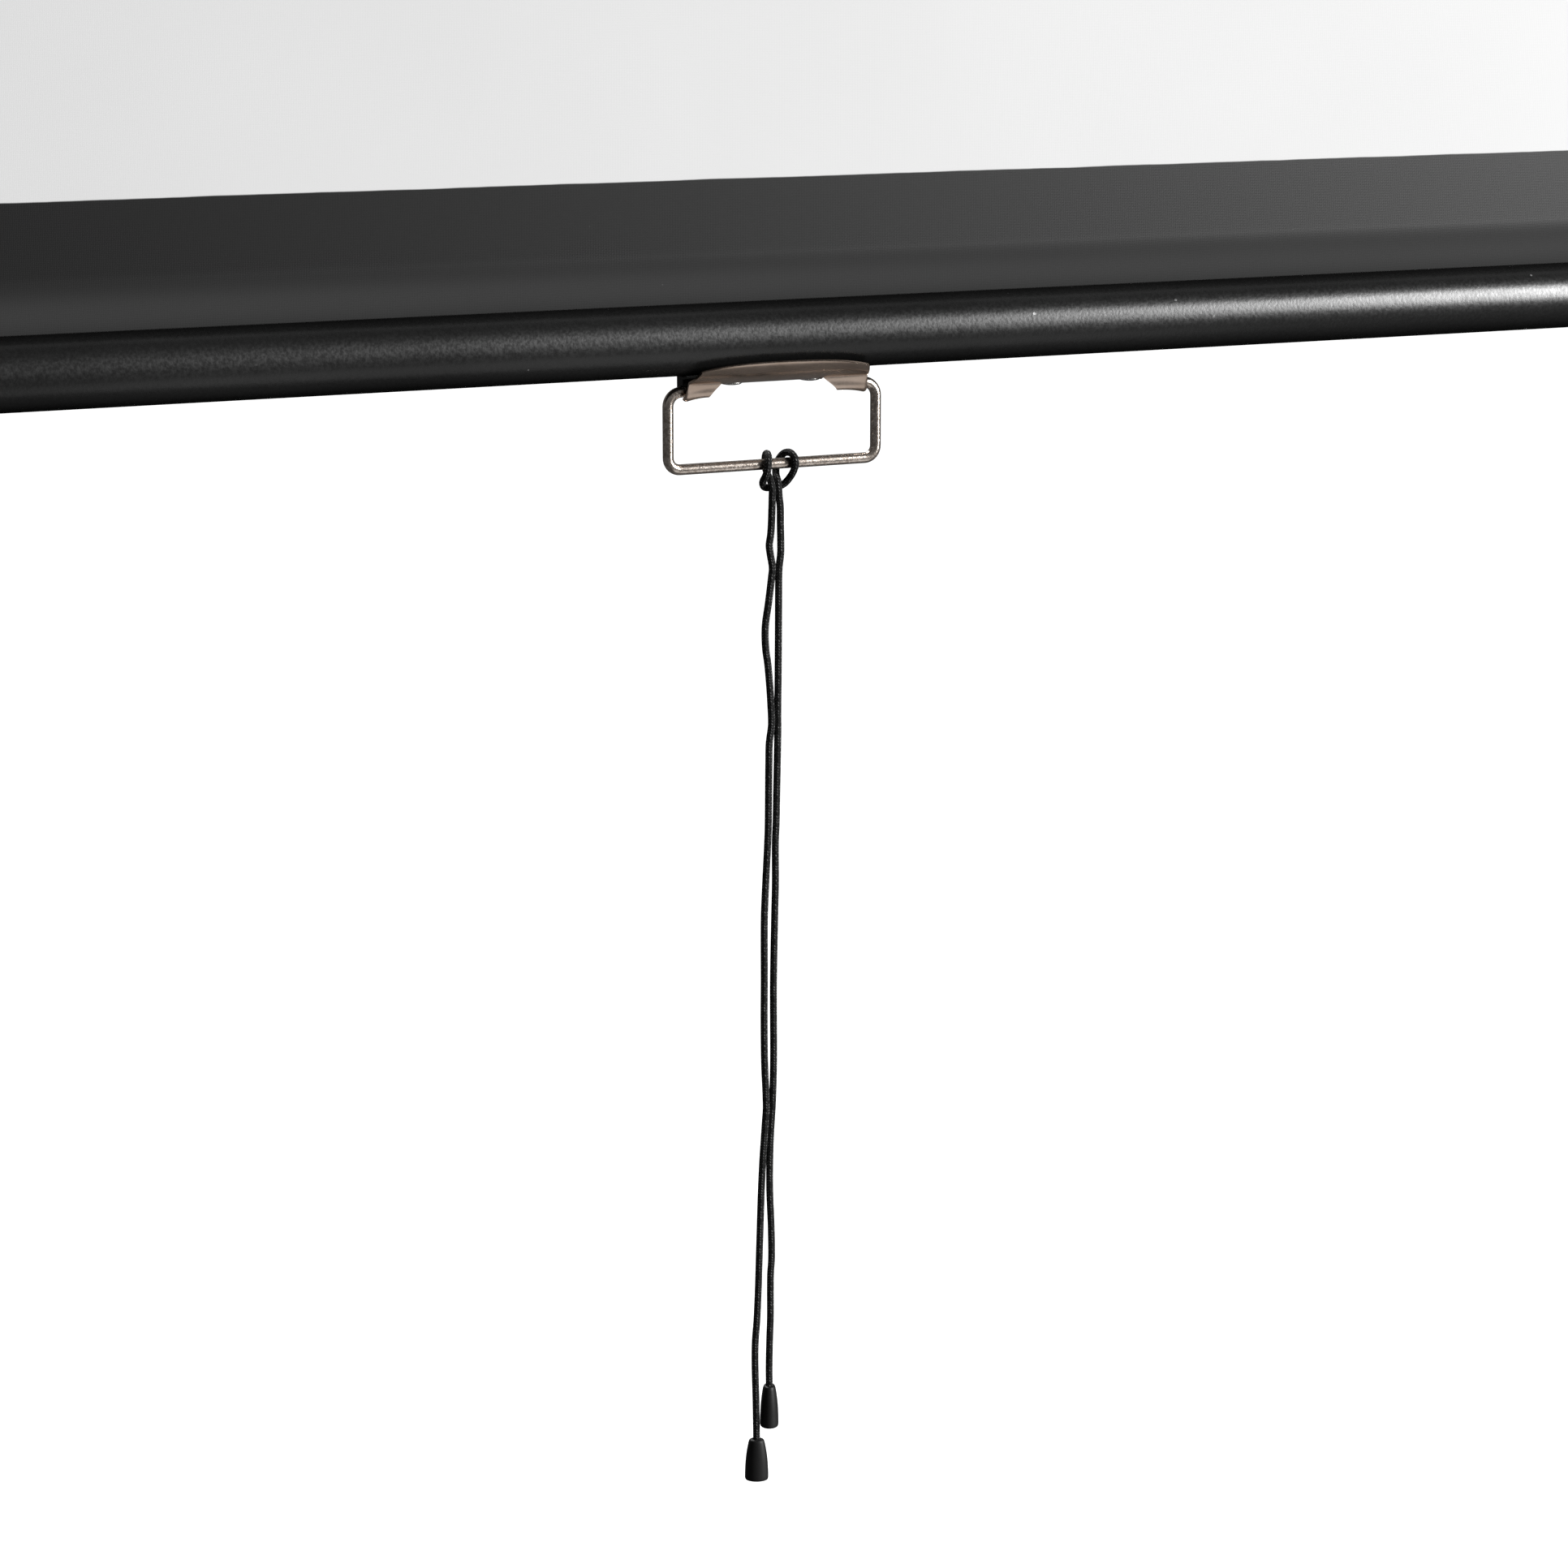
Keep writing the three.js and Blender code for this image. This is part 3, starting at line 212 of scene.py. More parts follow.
def makeWeaveGroup():
    group, source, sink = startGroup("weave", ["Across", "Along", "Pitch"], ["Height"])
    turns = maths(group, "DIVIDE", math.pi, source["Pitch"])
    across = times(group, source["Across"], turns)
    along = times(group, source["Along"], turns)
    warp = maths(group, "ABSOLUTE", maths(group, "SINE", across))
    weft = maths(group, "ABSOLUTE", maths(group, "SINE", along))
    over = times(group, maths(group, "SINE", across), maths(group, "SINE", along))
    turn = ramp(group, over, -weaveTurn, weaveTurn)
    warpUp = times(group, warp, turn)
    weftUp = times(group, weft, maths(group, "SUBTRACT", 1.0, turn))
    feed(group, sink["Height"], maths(group, "ADD", warpUp, weftUp))
    return group


dustGroup = makeDustGroup()
mottleGroup = makeMottleGroup()
weaveGroup = makeWeaveGroup()


def startMaterial(name, **values):
    material = bpy.data.materials.new(name)
    material.use_nodes = True
    tree = material.node_tree
    shader = tree.nodes["Principled BSDF"]
    for key, value in values.items():
        shader.inputs[key].default_value = value
    place = addNode(tree, "ShaderNodeTexCoord").outputs["Object"]
    return material, tree, shader, place


def addBump(tree, shader, height, strength, depth):
    values = {"Height": height, "Strength": strength, "Distance": depth}
    feed(tree, shader.inputs["Normal"], addNode(tree, "ShaderNodeBump", values))


# Black powder coat: orange peel and a little dust. Its sheen is held low at a flat angle, as a matt coat's is, and
# the case's own coat is rougher, with no sheen there at all.
powder = {
    "base": 0.04,
    "light": 0.048,
    "sheen": 0.9,
    "patches": 9.0,
    "peel": 820.0,
    "peelDepth": 0.055,
    "peelShare": 0.7,
    "edge": 0.2,
    "rough": (0.26, 0.36),
    "caseEdge": 0.0,
    "caseRough": (0.42, 0.52),
    "dust": {"Cells": 130.0, "Share": 0.14, "Size": 0.07},
    "dustTone": 0.6,
    "dustCover": 0.9,
}


def makePowderMaterial(name, edge, rough):
    material, tree, shader, place = startMaterial(name, Metallic=powder["sheen"])
    shader.inputs["Specular IOR Level"].default_value = 0.0
    shader.inputs["Specular Tint"].default_value = grey(edge)
    cloud = useGroup(tree, mottleGroup, Vector=place, Patches=powder["patches"], Grain=powder["peel"])
    dust = useGroup(tree, dustGroup, Vector=place, **powder["dust"])
    base = mixColour(tree, cloud["Patch"], grey(powder["base"]), grey(powder["light"]))
    speck = times(tree, dust["Mask"], powder["dustCover"])
    feed(tree, shader.inputs["Base Color"], mixColour(tree, speck, base, grey(powder["dustTone"])))
    feed(tree, shader.inputs["Roughness"], ramp(tree, cloud["Grain"], 0, 1, *rough))
    peel = noise(tree, place, powder["peel"], Detail=1.0)
    addBump(tree, shader, peel, powder["peelShare"], powder["peelDepth"] * mm)
    return material


# Black moulded plastic: even fine texture, a little gloss
moulded = {
    "dark": 0.005,
    "light": 0.008,
    "shine": 0.2,
    "patches": 60.0,
    "grain": 3000.0,
    "rough": (0.42, 0.56),
    "grainShare": 0.35,
    "grainDepth": 0.03,
}


def makeMouldedMaterial():
    material, tree, shader, place = startMaterial("mouldedPlastic")
    shader.inputs["Specular IOR Level"].default_value = moulded["shine"]
    cloud = useGroup(tree, mottleGroup, Vector=place, Patches=moulded["patches"], Grain=moulded["grain"])
    base = mixColour(tree, cloud["Patch"], grey(moulded["dark"]), grey(moulded["light"]))
    feed(tree, shader.inputs["Base Color"], base)
    feed(tree, shader.inputs["Roughness"], ramp(tree, cloud["Grain"], 0, 1, *moulded["rough"]))
    addBump(tree, shader, cloud["Grain"], moulded["grainShare"], moulded["grainDepth"] * mm)
    return material


# Metals: colour and gloss vary in soft patches and fine pits
metals = {
    "zincPlate": {
        "dark": (0.42, 0.43, 0.45), "light": (0.6, 0.61, 0.62), "rough": (0.2, 0.34),
        "patches": 90.0, "grain": 1500.0, "depth": 0.01,
    },
    "springSteel": {
        "dark": (0.1, 0.1, 0.11), "light": (0.2, 0.2, 0.21), "rough": (0.3, 0.45),
        "patches": 60.0, "grain": 1200.0, "depth": 0.01,
    },
    "nickelPlate": {
        "dark": (0.43, 0.335, 0.272), "light": (0.55, 0.445, 0.375), "rough": (0.2, 0.26),
        "patches": 60.0, "grain": 1400.0, "depth": 0.003,
    },
    "nickelWire": {
        "dark": (0.4, 0.335, 0.285), "light": (0.86, 0.775, 0.705), "rough": (0.17, 0.28),
        "patches": 800.0, "grain": 2400.0, "depth": 0.03,
    },
    "screwPlate": {
        "dark": (0.45, 0.44, 0.43), "light": (0.7, 0.69, 0.67), "rough": (0.2, 0.3),
        "patches": 90.0, "grain": 1500.0, "depth": 0.004,
    },
}
metalGrain = {"stainFrom": 0.45, "share": 0.4}


def makeMetalMaterial(name):
    metal = metals[name]
    material, tree, shader, place = startMaterial(name, Metallic=1.0)
    cloud = useGroup(tree, mottleGroup, Vector=place, Patches=metal["patches"], Grain=metal["grain"])
    fine = ramp(tree, cloud["Grain"], 0, 1, metalGrain["stainFrom"], 1.0)
    stain = times(tree, cloud["Patch"], fine)
    tone = mixColour(tree, stain, (*metal["dark"], 1), (*metal["light"], 1))
    feed(tree, shader.inputs["Base Color"], tone)
    feed(tree, shader.inputs["Roughness"], ramp(tree, cloud["Grain"], 0, 1, *metal["rough"]))
    addBump(tree, shader, cloud["Grain"], metalGrain["share"], metal["depth"] * mm)
    return material


# Screen fabric: white inside a printed black border whose edge wanders a little, all over a fine weave. Just above
# the bar the border is lightened by a painted reflection of the bar's highlight.
screenPrint = {
    "sideBorder": 48.0,
    "lowerBorder": 44.0,
    "upperBorder": 120.0,
    "wander": 0.35,
    "wanderCells": 35.0,
    "softEdge": 0.25,
    "pitch": 0.62,
    "weaveShare": 0.3,
    "weaveDepth": 0.06,
    "white": 0.488,
    "whiteLight": 1.03,
    "whiteRough": 0.85,
    "black": 0.0048,
    "blackShares": (0.5, 1.3),
    "blackRough": 0.44,
    "shine": 0.17,
    "patches": 5.0,
    "grain": 700.0,
    "thread": (0.8, 1.1),
    "threadShare": 0.8,
    # painted reflection: how many times lighter the black border is at the bar, fading out over this height in
    # millimetres
    "barReflection": 10.5,
    "barReflectionHeight": 20.0,
    "dust": {"Cells": 110.0, "Share": 0.3, "Size": 0.03},
    "dustTone": 0.3,
}


def makeScreenMaterial():
    material, tree, shader, place = startMaterial("screenFabric")
    shader.inputs["Specular IOR Level"].default_value = screenPrint["shine"]
    sheetLow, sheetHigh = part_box("screen_sheet")
    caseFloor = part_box("case_front_floor")[0][2]
    axes = addNode(tree, "ShaderNodeSeparateXYZ", {0: place})
    wobble = noise(tree, place, screenPrint["wanderCells"], Detail=4.0)
    reach = screenPrint["wander"] * mm
    wander = ramp(tree, wobble, 0, 1, -reach, reach, False)
    across = maths(tree, "ADD", maths(tree, "ABSOLUTE", axes.outputs[0]), wander)
    height = maths(tree, "ADD", axes.outputs[2], wander)
    soft = screenPrint["softEdge"] * mm
    seam = barAxis[2] + barRadius
    side = sheetHigh[0] - screenPrint["sideBorder"] * mm
    lower = seam + screenPrint["lowerBorder"] * mm
    upper = caseFloor - screenPrint["upperBorder"] * mm
    inSides = ramp(tree, across, side - soft, side + soft, 1.0, 0.0)
    inLower = ramp(tree, height, lower - soft, lower + soft)
    inUpper = ramp(tree, height, upper - soft, upper + soft, 1.0, 0.0)
    inside = times(tree, inSides, inLower, inUpper)
    pitch = screenPrint["pitch"] * mm
    weave = useGroup(tree, weaveGroup, Across=axes.outputs[0], Along=axes.outputs[2], Pitch=pitch)
    cloud = useGroup(tree, mottleGroup, Vector=place, Patches=screenPrint["patches"], Grain=screenPrint["grain"])
    white, black = screenPrint["white"], screenPrint["black"]
    whiteTone = mixColour(tree, cloud["Patch"], grey(white), grey(white * screenPrint["whiteLight"]))
    thread = ramp(tree, weave["Height"], 0.0, 1.0, *screenPrint["thread"], False)
    lift = times(tree, thread, screenPrint["threadShare"])
    cleanTone = mixColour(tree, lift, *(grey(black * share) for share in screenPrint["blackShares"]))
    # Painted reflection of the bar's highlight: the black border gets lighter towards the bar and fades out upwards;
    # real dust specks go on after it
    barReflection = ramp(tree, axes.outputs[2], seam, seam + screenPrint["barReflectionHeight"] * mm, 1.0, 0.0)
    blackTone = mixColour(tree, barReflection, cleanTone, grey(black * screenPrint["barReflection"]))
    dust = useGroup(tree, dustGroup, Vector=place, **screenPrint["dust"])
    blackReflectionAndDust = mixColour(tree, dust["Mask"], blackTone, grey(screenPrint["dustTone"]))
    feed(tree, shader.inputs["Base Color"], mixColour(tree, inside, blackReflectionAndDust, whiteTone))
    rough = ramp(tree, inside, 0, 1, screenPrint["blackRough"], screenPrint["whiteRough"])
    feed(tree, shader.inputs["Roughness"], rough)
    addBump(tree, shader, weave["Height"], screenPrint["weaveShare"], screenPrint["weaveDepth"] * mm)
    return material


# The fabric's back and the roll: plain black cloth
backing = {"dark": 0.012, "light": 0.022, "rough": 0.8, "pitch": 0.9, "weaveShare": 0.4, "weaveDepth": 0.06}


def makeBackingMaterial():
    material, tree, shader, place = startMaterial("fabricBacking", Roughness=backing["rough"])
    axes = addNode(tree, "ShaderNodeSeparateXYZ", {0: place})
    pitch = backing["pitch"] * mm
    weave = useGroup(tree, weaveGroup, Across=axes.outputs[0], Along=axes.outputs[2], Pitch=pitch)
    tone = mixColour(tree, weave["Height"], grey(backing["dark"]), grey(backing["light"]))
    feed(tree, shader.inputs["Base Color"], tone)
    addBump(tree, shader, weave["Height"], backing["weaveShare"], backing["weaveDepth"] * mm)
    return material


# Braided cord: ribs lean left and right by turns round it, each rib a row of strands, some with a grey thread.
# Its map holds turns round the cord and millimetres along it.
braid = {
    "ribs": 8,
    "pitch": 1.06,
    "lean": 0.55,
    "depth": 0.07,
    "roundness": 2.5,
    "black": 0.005,
    "fleck": 0.24,
    "share": 0.9,
    "shareFade": 0.5,
    "fleckAlong": (0.06, 0.24),
    "fleckAcross": (0.06, 0.3),
    "fibres": 2600.0,
    "worn": (0.34, 0.6),
    "rough": 0.7,
    "shine": 0.12,
    "bumpShare": 0.8,
    "bumpDepth": 0.14,
}


# A strand's dome: 1 in its middle, less by a power of the distance from it, 0 at its edges half a strand away
def strandDome(tree, offset):
    away = maths(tree, "ABSOLUTE", times(tree, offset, 2.0))
    return maths(tree, "SUBTRACT", 1.0, maths(tree, "POWER", away, braid["roundness"]))


def makeBraidGroup():
    group, source, sink = startGroup("braid", ["Turns", "Along"], ["Height", "Thread", "Chance"])
    around = times(group, source["Turns"], float(braid["ribs"]))
    rib = maths(group, "FLOOR", around)
    offset = maths(group, "SUBTRACT", maths(group, "FRACT", around), 0.5)
    odd = maths(group, "MODULO", rib, 2.0)
    side = maths(group, "MULTIPLY_ADD", odd, 2.0, -1.0)
    slant = times(group, offset, side, 2 * braid["lean"])
    step = maths(group, "ADD", maths(group, "DIVIDE", source["Along"], braid["pitch"]), slant)
    within = maths(group, "SUBTRACT", maths(group, "FRACT", step), 0.5)
    dome = times(group, strandDome(group, offset), strandDome(group, within))
    feed(group, sink["Height"], dome)
    slim = ramp(group, maths(group, "ABSOLUTE", within), *braid["fleckAlong"], 1.0, 0.0)
    short = ramp(group, maths(group, "ABSOLUTE", offset), *braid["fleckAcross"], 1.0, 0.0)
    feed(group, sink["Thread"], times(group, slim, short))
    place = addNode(group, "ShaderNodeCombineXYZ", {0: rib, 1: maths(group, "FLOOR", step)})
    chance = addNode(group, "ShaderNodeTexWhiteNoise", {"Vector": place}, noise_dimensions="2D")
    feed(group, sink["Chance"], chance.outputs["Value"])
    return group


braidGroup = makeBraidGroup()


def makeCordMaterial():
    material, tree, shader, place = startMaterial("braidedCord", Roughness=braid["rough"])
    shader.inputs["Specular IOR Level"].default_value = braid["shine"]
    cordMap = addNode(tree, "ShaderNodeUVMap", uv_map="cordMap").outputs[0]
    parts = addNode(tree, "ShaderNodeSeparateXYZ", {0: cordMap})
    woven = useGroup(tree, braidGroup, Turns=parts.outputs[0], Along=parts.outputs[1])
    fibres = noise(tree, place, braid["fibres"], Detail=2.0)
    shown = ramp(tree, woven["Chance"], braid["share"], braid["share"] - braid["shareFade"], 0.0, 1.0)
    worn = ramp(tree, fibres, *braid["worn"])
    fleck = times(tree, woven["Thread"], shown, worn)
    tone = mixColour(tree, fleck, grey(braid["black"]), grey(braid["fleck"]))
    feed(tree, shader.inputs["Base Color"], tone)
    addBump(tree, shader, woven["Height"], braid["bumpShare"], braid["bumpDepth"] * mm)
    return material


finishes = {
    "powder_black": makePowderMaterial("barPowder", powder["edge"], powder["rough"]),
    "case_powder": makePowderMaterial("casePowder", powder["caseEdge"], powder["caseRough"]),
    "moulded_black": makeMouldedMaterial(),
    "zinc_steel": makeMetalMaterial("zincPlate"),
    "spring_steel": makeMetalMaterial("springSteel"),
    "nickel_plate": makeMetalMaterial("nickelPlate"),
    "nickel_wire": makeMetalMaterial("nickelWire"),
    "screw_plate": makeMetalMaterial("screwPlate"),
    "screen_fabric": makeScreenMaterial(),
    "backing": makeBackingMaterial(),
    "cord_black": makeCordMaterial(),
}
print("materials made")


# Meshes: a grid of point numbers becomes quads
def quadsOf(index):
    return np.stack([index[:-1, :-1], index[1:, :-1], index[1:, 1:], index[:-1, 1:]], axis=-1).reshape(-1, 4)


# A whole grid's quads, closed round either way where asked
def gridFaces(rows, columns, wrapRows=False, wrapColumns=False):
    index = np.arange(rows * columns).reshape(rows, columns)
    if wrapRows:
        index = np.vstack([index, index[:1]])
    if wrapColumns:
        index = np.hstack([index, index[:, :1]])
    return quadsOf(index)


def shadeSmooth(data, sharp):
    data.shade_smooth()
    data.set_sharp_from_angle(angle=math.radians(sharp))
    return data


mergeWithin = 0.0005  # millimetres, for doubles


# A mesh from points, quads and end rings; a closed one has its doubles merged and its faces turned outwards
def meshFrom(name, points, quads, rings=(), sharp=35.0, closed=True):
    data = bpy.data.meshes.new(name)
    loops = np.concatenate([quads.ravel(), *[np.asarray(ring) for ring in rings]])
    totals = np.concatenate([np.full(len(quads), 4), [len(ring) for ring in rings]]).astype(int)
    starts = np.concatenate([[0], np.cumsum(totals)[:-1]])
    data.vertices.add(len(points))
    data.vertices.foreach_set("co", np.asarray(points, dtype=float).ravel())
    data.loops.add(len(loops))
    data.loops.foreach_set("vertex_index", loops.astype(np.int32))
    data.polygons.add(len(totals))
    data.polygons.foreach_set("loop_start", starts.astype(np.int32))
    data.update(calc_edges=True)
    if closed:
        work = bmesh.new()
        work.from_mesh(data)
        bmesh.ops.remove_doubles(work, verts=work.verts, dist=mergeWithin * mm)
        bmesh.ops.recalc_face_normals(work, faces=work.faces)
        work.to_mesh(data)
        work.free()
    data.validate()
    return shadeSmooth(data, sharp)


# The powder coat on the case's own body is the rougher one
def finishFor(slot, body):
    return finishes["case_powder" if slot == "powder_black" and body == "case" else slot]


def addPiece(name, data, body, slot, replaced=(), material=None):
    piece = bpy.data.objects.new(name, data)
    bpy.context.scene.collection.objects.link(piece)
    if not data.materials:
        data.materials.append(material or finishFor(slot, body))
    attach(piece, body)
    if replaced:
        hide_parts(*replaced)
    return piece


def addWall(piece, thick, offset):
    wall = piece.modifiers.new("wall", "SOLIDIFY")
    wall.thickness = thick * mm
    wall.offset = offset
    return wall


def addBevel(piece, width, steps, angle):
    edge = piece.modifiers.new("edge", "BEVEL")
    edge.width = width * mm
    edge.segments = steps
    edge.limit_method = "ANGLE"
    edge.angle_limit = math.radians(angle)
    return edge


# A shell between an outer and an inner grid of the same shape, with its four rims closed
def shellMesh(name, outer, inner, sharp=35.0):
    rows, columns = outer.shape[:2]
    shift = rows * columns
    points = np.concatenate([outer.reshape(-1, 3), inner.reshape(-1, 3)])
    front = gridFaces(rows, columns)
    back = front[:, ::-1] + shift
    index = np.arange(shift).reshape(rows, columns)
    border = np.concatenate([index[0, :-1], index[:-1, -1], index[-1, :0:-1], index[:0:-1, 0]])
    following = np.roll(border, -1)
    rim = np.stack([border, following, following + shift, border + shift], axis=-1)
    return meshFrom(name, points, np.concatenate([front, back, rim]), sharp=sharp)


# One outline in Y and Z, repeated at each of the places along X
def extrude(places, outline):
    grid = np.empty((len(places), len(outline), 3))
    grid[..., 0] = places[:, None]
    grid[..., 1:] = outline
    return grid


# Two directions across a path at each of its points: a first guess at right angles to the path, then turned back
# by the sum of its small slips from point to point, so that the tube doesn't twist
def tubeFrames(path):
    guess = np.array([0.61, 0.52, 0.6])  # along none of the paths
    ahead = np.gradient(path, axis=0)
    ahead /= np.linalg.norm(ahead, axis=1, keepdims=True)
    side = np.cross(guess, ahead)
    side /= np.linalg.norm(side, axis=1, keepdims=True)
    up = np.cross(ahead, side)
    carried = side[:-1] - np.sum(side[:-1] * ahead[1:], axis=1, keepdims=True) * ahead[1:]
    slip = np.arctan2(np.sum(carried * up[1:], axis=1), np.sum(carried * side[1:], axis=1))
    twist = np.concatenate([[0.0], np.cumsum(slip)])[:, None]
    return side * np.cos(twist) + up * np.sin(twist), up * np.cos(twist) - side * np.sin(twist)


# A round or lobed tube: path + radius * (side * cosine + up * sine of the turn), with its ends closed
def tubeMesh(name, path, radius, sides):
    side, up = tubeFrames(path)
    turn = np.linspace(0, 2 * math.pi, sides, endpoint=False)
    spread = np.broadcast_to(radius, (len(path), sides))[..., None]
    around = side[:, None] * np.cos(turn)[None, :, None] + up[:, None] * np.sin(turn)[None, :, None]
    grid = path[:, None] + around * spread
    first = np.arange(sides)
    last = first + (len(path) - 1) * sides
    quads = gridFaces(len(path), sides, wrapColumns=True)
    return meshFrom(name, grid.reshape(-1, 3), quads, [first, last[::-1]])


# The way from a path's start to each of its points, and the places on the path after given lengths of way
def wayAlong(points):
    return np.concatenate([[0], np.cumsum(np.linalg.norm(np.diff(points, axis=0), axis=1))])


def placesAfter(points, lengths):
    way = wayAlong(points)
    return np.stack([np.interp(lengths, way, column) for column in points.T], axis=1)


# A centripetal curve through given points, then places on it at even steps
def smoothRoute(points, step, fineness=60):
    points = np.asarray(points, dtype=float)
    ends = [2 * points[:1] - points[1:2], points, 2 * points[-1:] - points[-2:-1]]
    knots = np.concatenate(ends)
    before, start, end, after = knots[:-3], knots[1:-2], knots[2:-1], knots[3:]
    gap = np.linalg.norm(np.diff(knots, axis=0), axis=1)[:, None] ** 0.5
    gapIn, gapMid, gapOut = gap[:-2], gap[1:-1], gap[2:]
    leave = (start - before) / gapIn - (end - before) / (gapIn + gapMid) + (end - start) / gapMid
    arrive = (end - start) / gapMid - (after - start) / (gapMid + gapOut) + (after - end) / gapOut
    leave, arrive = leave * gapMid, arrive * gapMid
    t = np.linspace(0, 1, fineness, endpoint=False)[None, :, None]
    cube = 2 * start - 2 * end + leave + arrive
    square = -3 * start + 3 * end - 2 * leave - arrive
    fine = start[:, None] + leave[:, None] * t + square[:, None] * t**2 + cube[:, None] * t**3
    fine = np.concatenate([fine.reshape(-1, 3), points[-1:]])
    length = wayAlong(fine)[-1]
    even = np.linspace(0, length, max(int(round(length / step)), 2) + 1)
    return placesAfter(fine, even), even


# Pull cord: one braided cord, tied by its middle to the bail; the route starts behind the two falls
cord = {
    "diameter": 2.7,
    "step": 0.2,
    "declaredEach": 10,  # steps between two points of the declared path
    "sides": 32,
    "ribMiddle": 0.6,
    "left": [
        (0.5, 2.6, -9.1), (-0.55, 2.6, -9.15), (-1.9, 2.2, -9), (-3.3, 1.3, -8.1), (-4.2, -0.4, -6.3),
        (-4.1, -2.4, -4.1), (-3.8, -3.7, -1.6), (-3.5, -3.7, 1.2), (-2.9, -2.3, 3.2), (-2.3, 0.1, 3.85),
        (-1.8, 2.5, 3.1), (-1.4, 3.9, 0.8), (-1.2, 3.9, -2), (-1, 2.3, -4.4), (-0.95, 0, -6.3),
        (-1, -1.6, -9.2), (-0.95, -1.4, -12.4), (-0.75, -0.8, -15.6), (-0.65, 0, -22.5), (-0.9, 0, -26),
        (-1.5, 0, -30.1), (-1.1, 0, -33.5), (-0.35, -0.2, -38.5), (-0.7, -0.1, -42.5), (-1.8, 0, -51.3),
        (-3.15, 0, -60.5), (-3, 0, -68.5), (-2.15, 0, -74.5), (-1.45, 0, -81.9), (-1.05, -0.15, -88.5),
        (-0.78, -0.36, -96.5), (-0.85, -0.28, -98.5), (-1.55, 0, -104.5), (-1.75, 0, -112.5),
        (-2, 0, -135.5), (-2.25, 0, -142.5), (-3.1, 0, -158.5), (-3.65, 0, -171.5), (-3.7, 0, -196.5),
        (-3.8, 0, -210.5), (-3.6, 0, -228.5), (-3.15, -0.2, -240.5), (-3.15, -0.38, -246.5),
        (-3.45, -0.36, -250.5), (-3.98, -0.27, -258.5), (-4.4, -0.05, -265.5), (-5, 0, -277.5),
        (-5.6, 0, -294.5), (-6, 0, -306.5), (-6.4, 0, -318.5), (-7, 0, -330.5), (-7.65, 0, -338.5),
        (-7.8, 0, -346.5), (-7.4, 0, -363.5), (-7.2, 0, -377.5), (-7.2, 0, -382.1),
    ],
    "right": [
        (0.5, 2.6, -9.1), (2.1, 2.6, -9.1), (3.5, 2.2, -8.8), (5.3, 1.1, -7.6), (6.45, -0.7, -5.4),
        (7.1, -2.6, -2.8), (7.4, -3.7, -0.2), (7.3, -3.6, 1.8), (6.8, -2.1, 3.4), (6.2, 0.2, 3.85),
        (5.4, 2.5, 3.1), (4.2, 3.9, 1), (3.1, 3.9, -1.6), (2.3, 2.4, -4.3), (2, 0.2, -6.3),
        (1.85, -0.9, -9.2), (2.05, -1, -12.4), (2.52, -0.8, -15.6), (3, 0, -22.5), (3.15, 0, -30),
        (3.1, 0, -33.5), (2.57, 0.2, -38.5), (2.37, 0.1, -42.5), (2.25, 0, -51.3), (2.15, 0, -68.5),
        (2, 0, -84.5), (2, 0.15, -88.5), (2.06, 0.36, -96.5), (2.06, 0.28, -98.5), (1.85, 0, -104.5),
        (1.5, 0, -121.5), (1.2, 0, -135.5), (0.9, 0, -142.5), (0.9, 0, -158.5), (0.6, 0, -171.5),
        (0.1, 0, -196.5), (0.1, 0, -228.5), (-0.12, 0.2, -240.5), (-0.32, 0.38, -246.5),
        (-0.6, 0.36, -250.5), (-1.1, 0.27, -258.5), (-1.45, 0.05, -265.5), (-1.55, 0, -277.5),
        (-0.9, 0, -294.5), (-0.8, 0, -306.5), (-1.2, 0, -312.5), (-1.3, 0, -330.5), (-1.6, 0, -338.5),
        (-1.85, 0, -350.5), (-1.8, 0, -356.4), (-1.8, 0, -360.9),
    ],
}

# Bail: round wire, its two ends turned in under the bar
bail = {
    "wire": 4.0,
    "half": 41.65,
    "pivotDrop": 18.85,
    "barDrop": 28.2,
    "upperCorner": 5.2,
    "lowerCorner": 4.4,
    "end": 29.2,
    "cornerSteps": 24,
    "step": 0.8,
    "sides": 32,
}
bailPivot = barAxis - np.array([0, 0, bail["pivotDrop"] * mm])
bailBar = bailPivot - np.array([0, 0, bail["barDrop"] * mm])


# Radius round the cord: half its thickness, and on it the ribs, as the size of a sine of half as many turns
def makeCord(side):
    route = np.array(cord[side]) * mm + bailBar
    path, along = smoothRoute(route, cord["step"] * mm)
    turn = np.linspace(0, 2 * math.pi, cord["sides"], endpoint=False)[None, :]
    ribs = np.abs(np.sin(braid["ribs"] / 2 * turn))
    radius = cord["diameter"] / 2 * mm + braid["depth"] * mm * (ribs - cord["ribMiddle"])
    data = tubeMesh("cord_" + side, path, radius, cord["sides"])
    mapCord(data, len(path), along)
    piece = addPiece("cord_" + side, data, "cord", "cord_black", [f"cord_{side}_hitch", f"cord_{side}_fall"])
    return piece, path, float(along[-1])


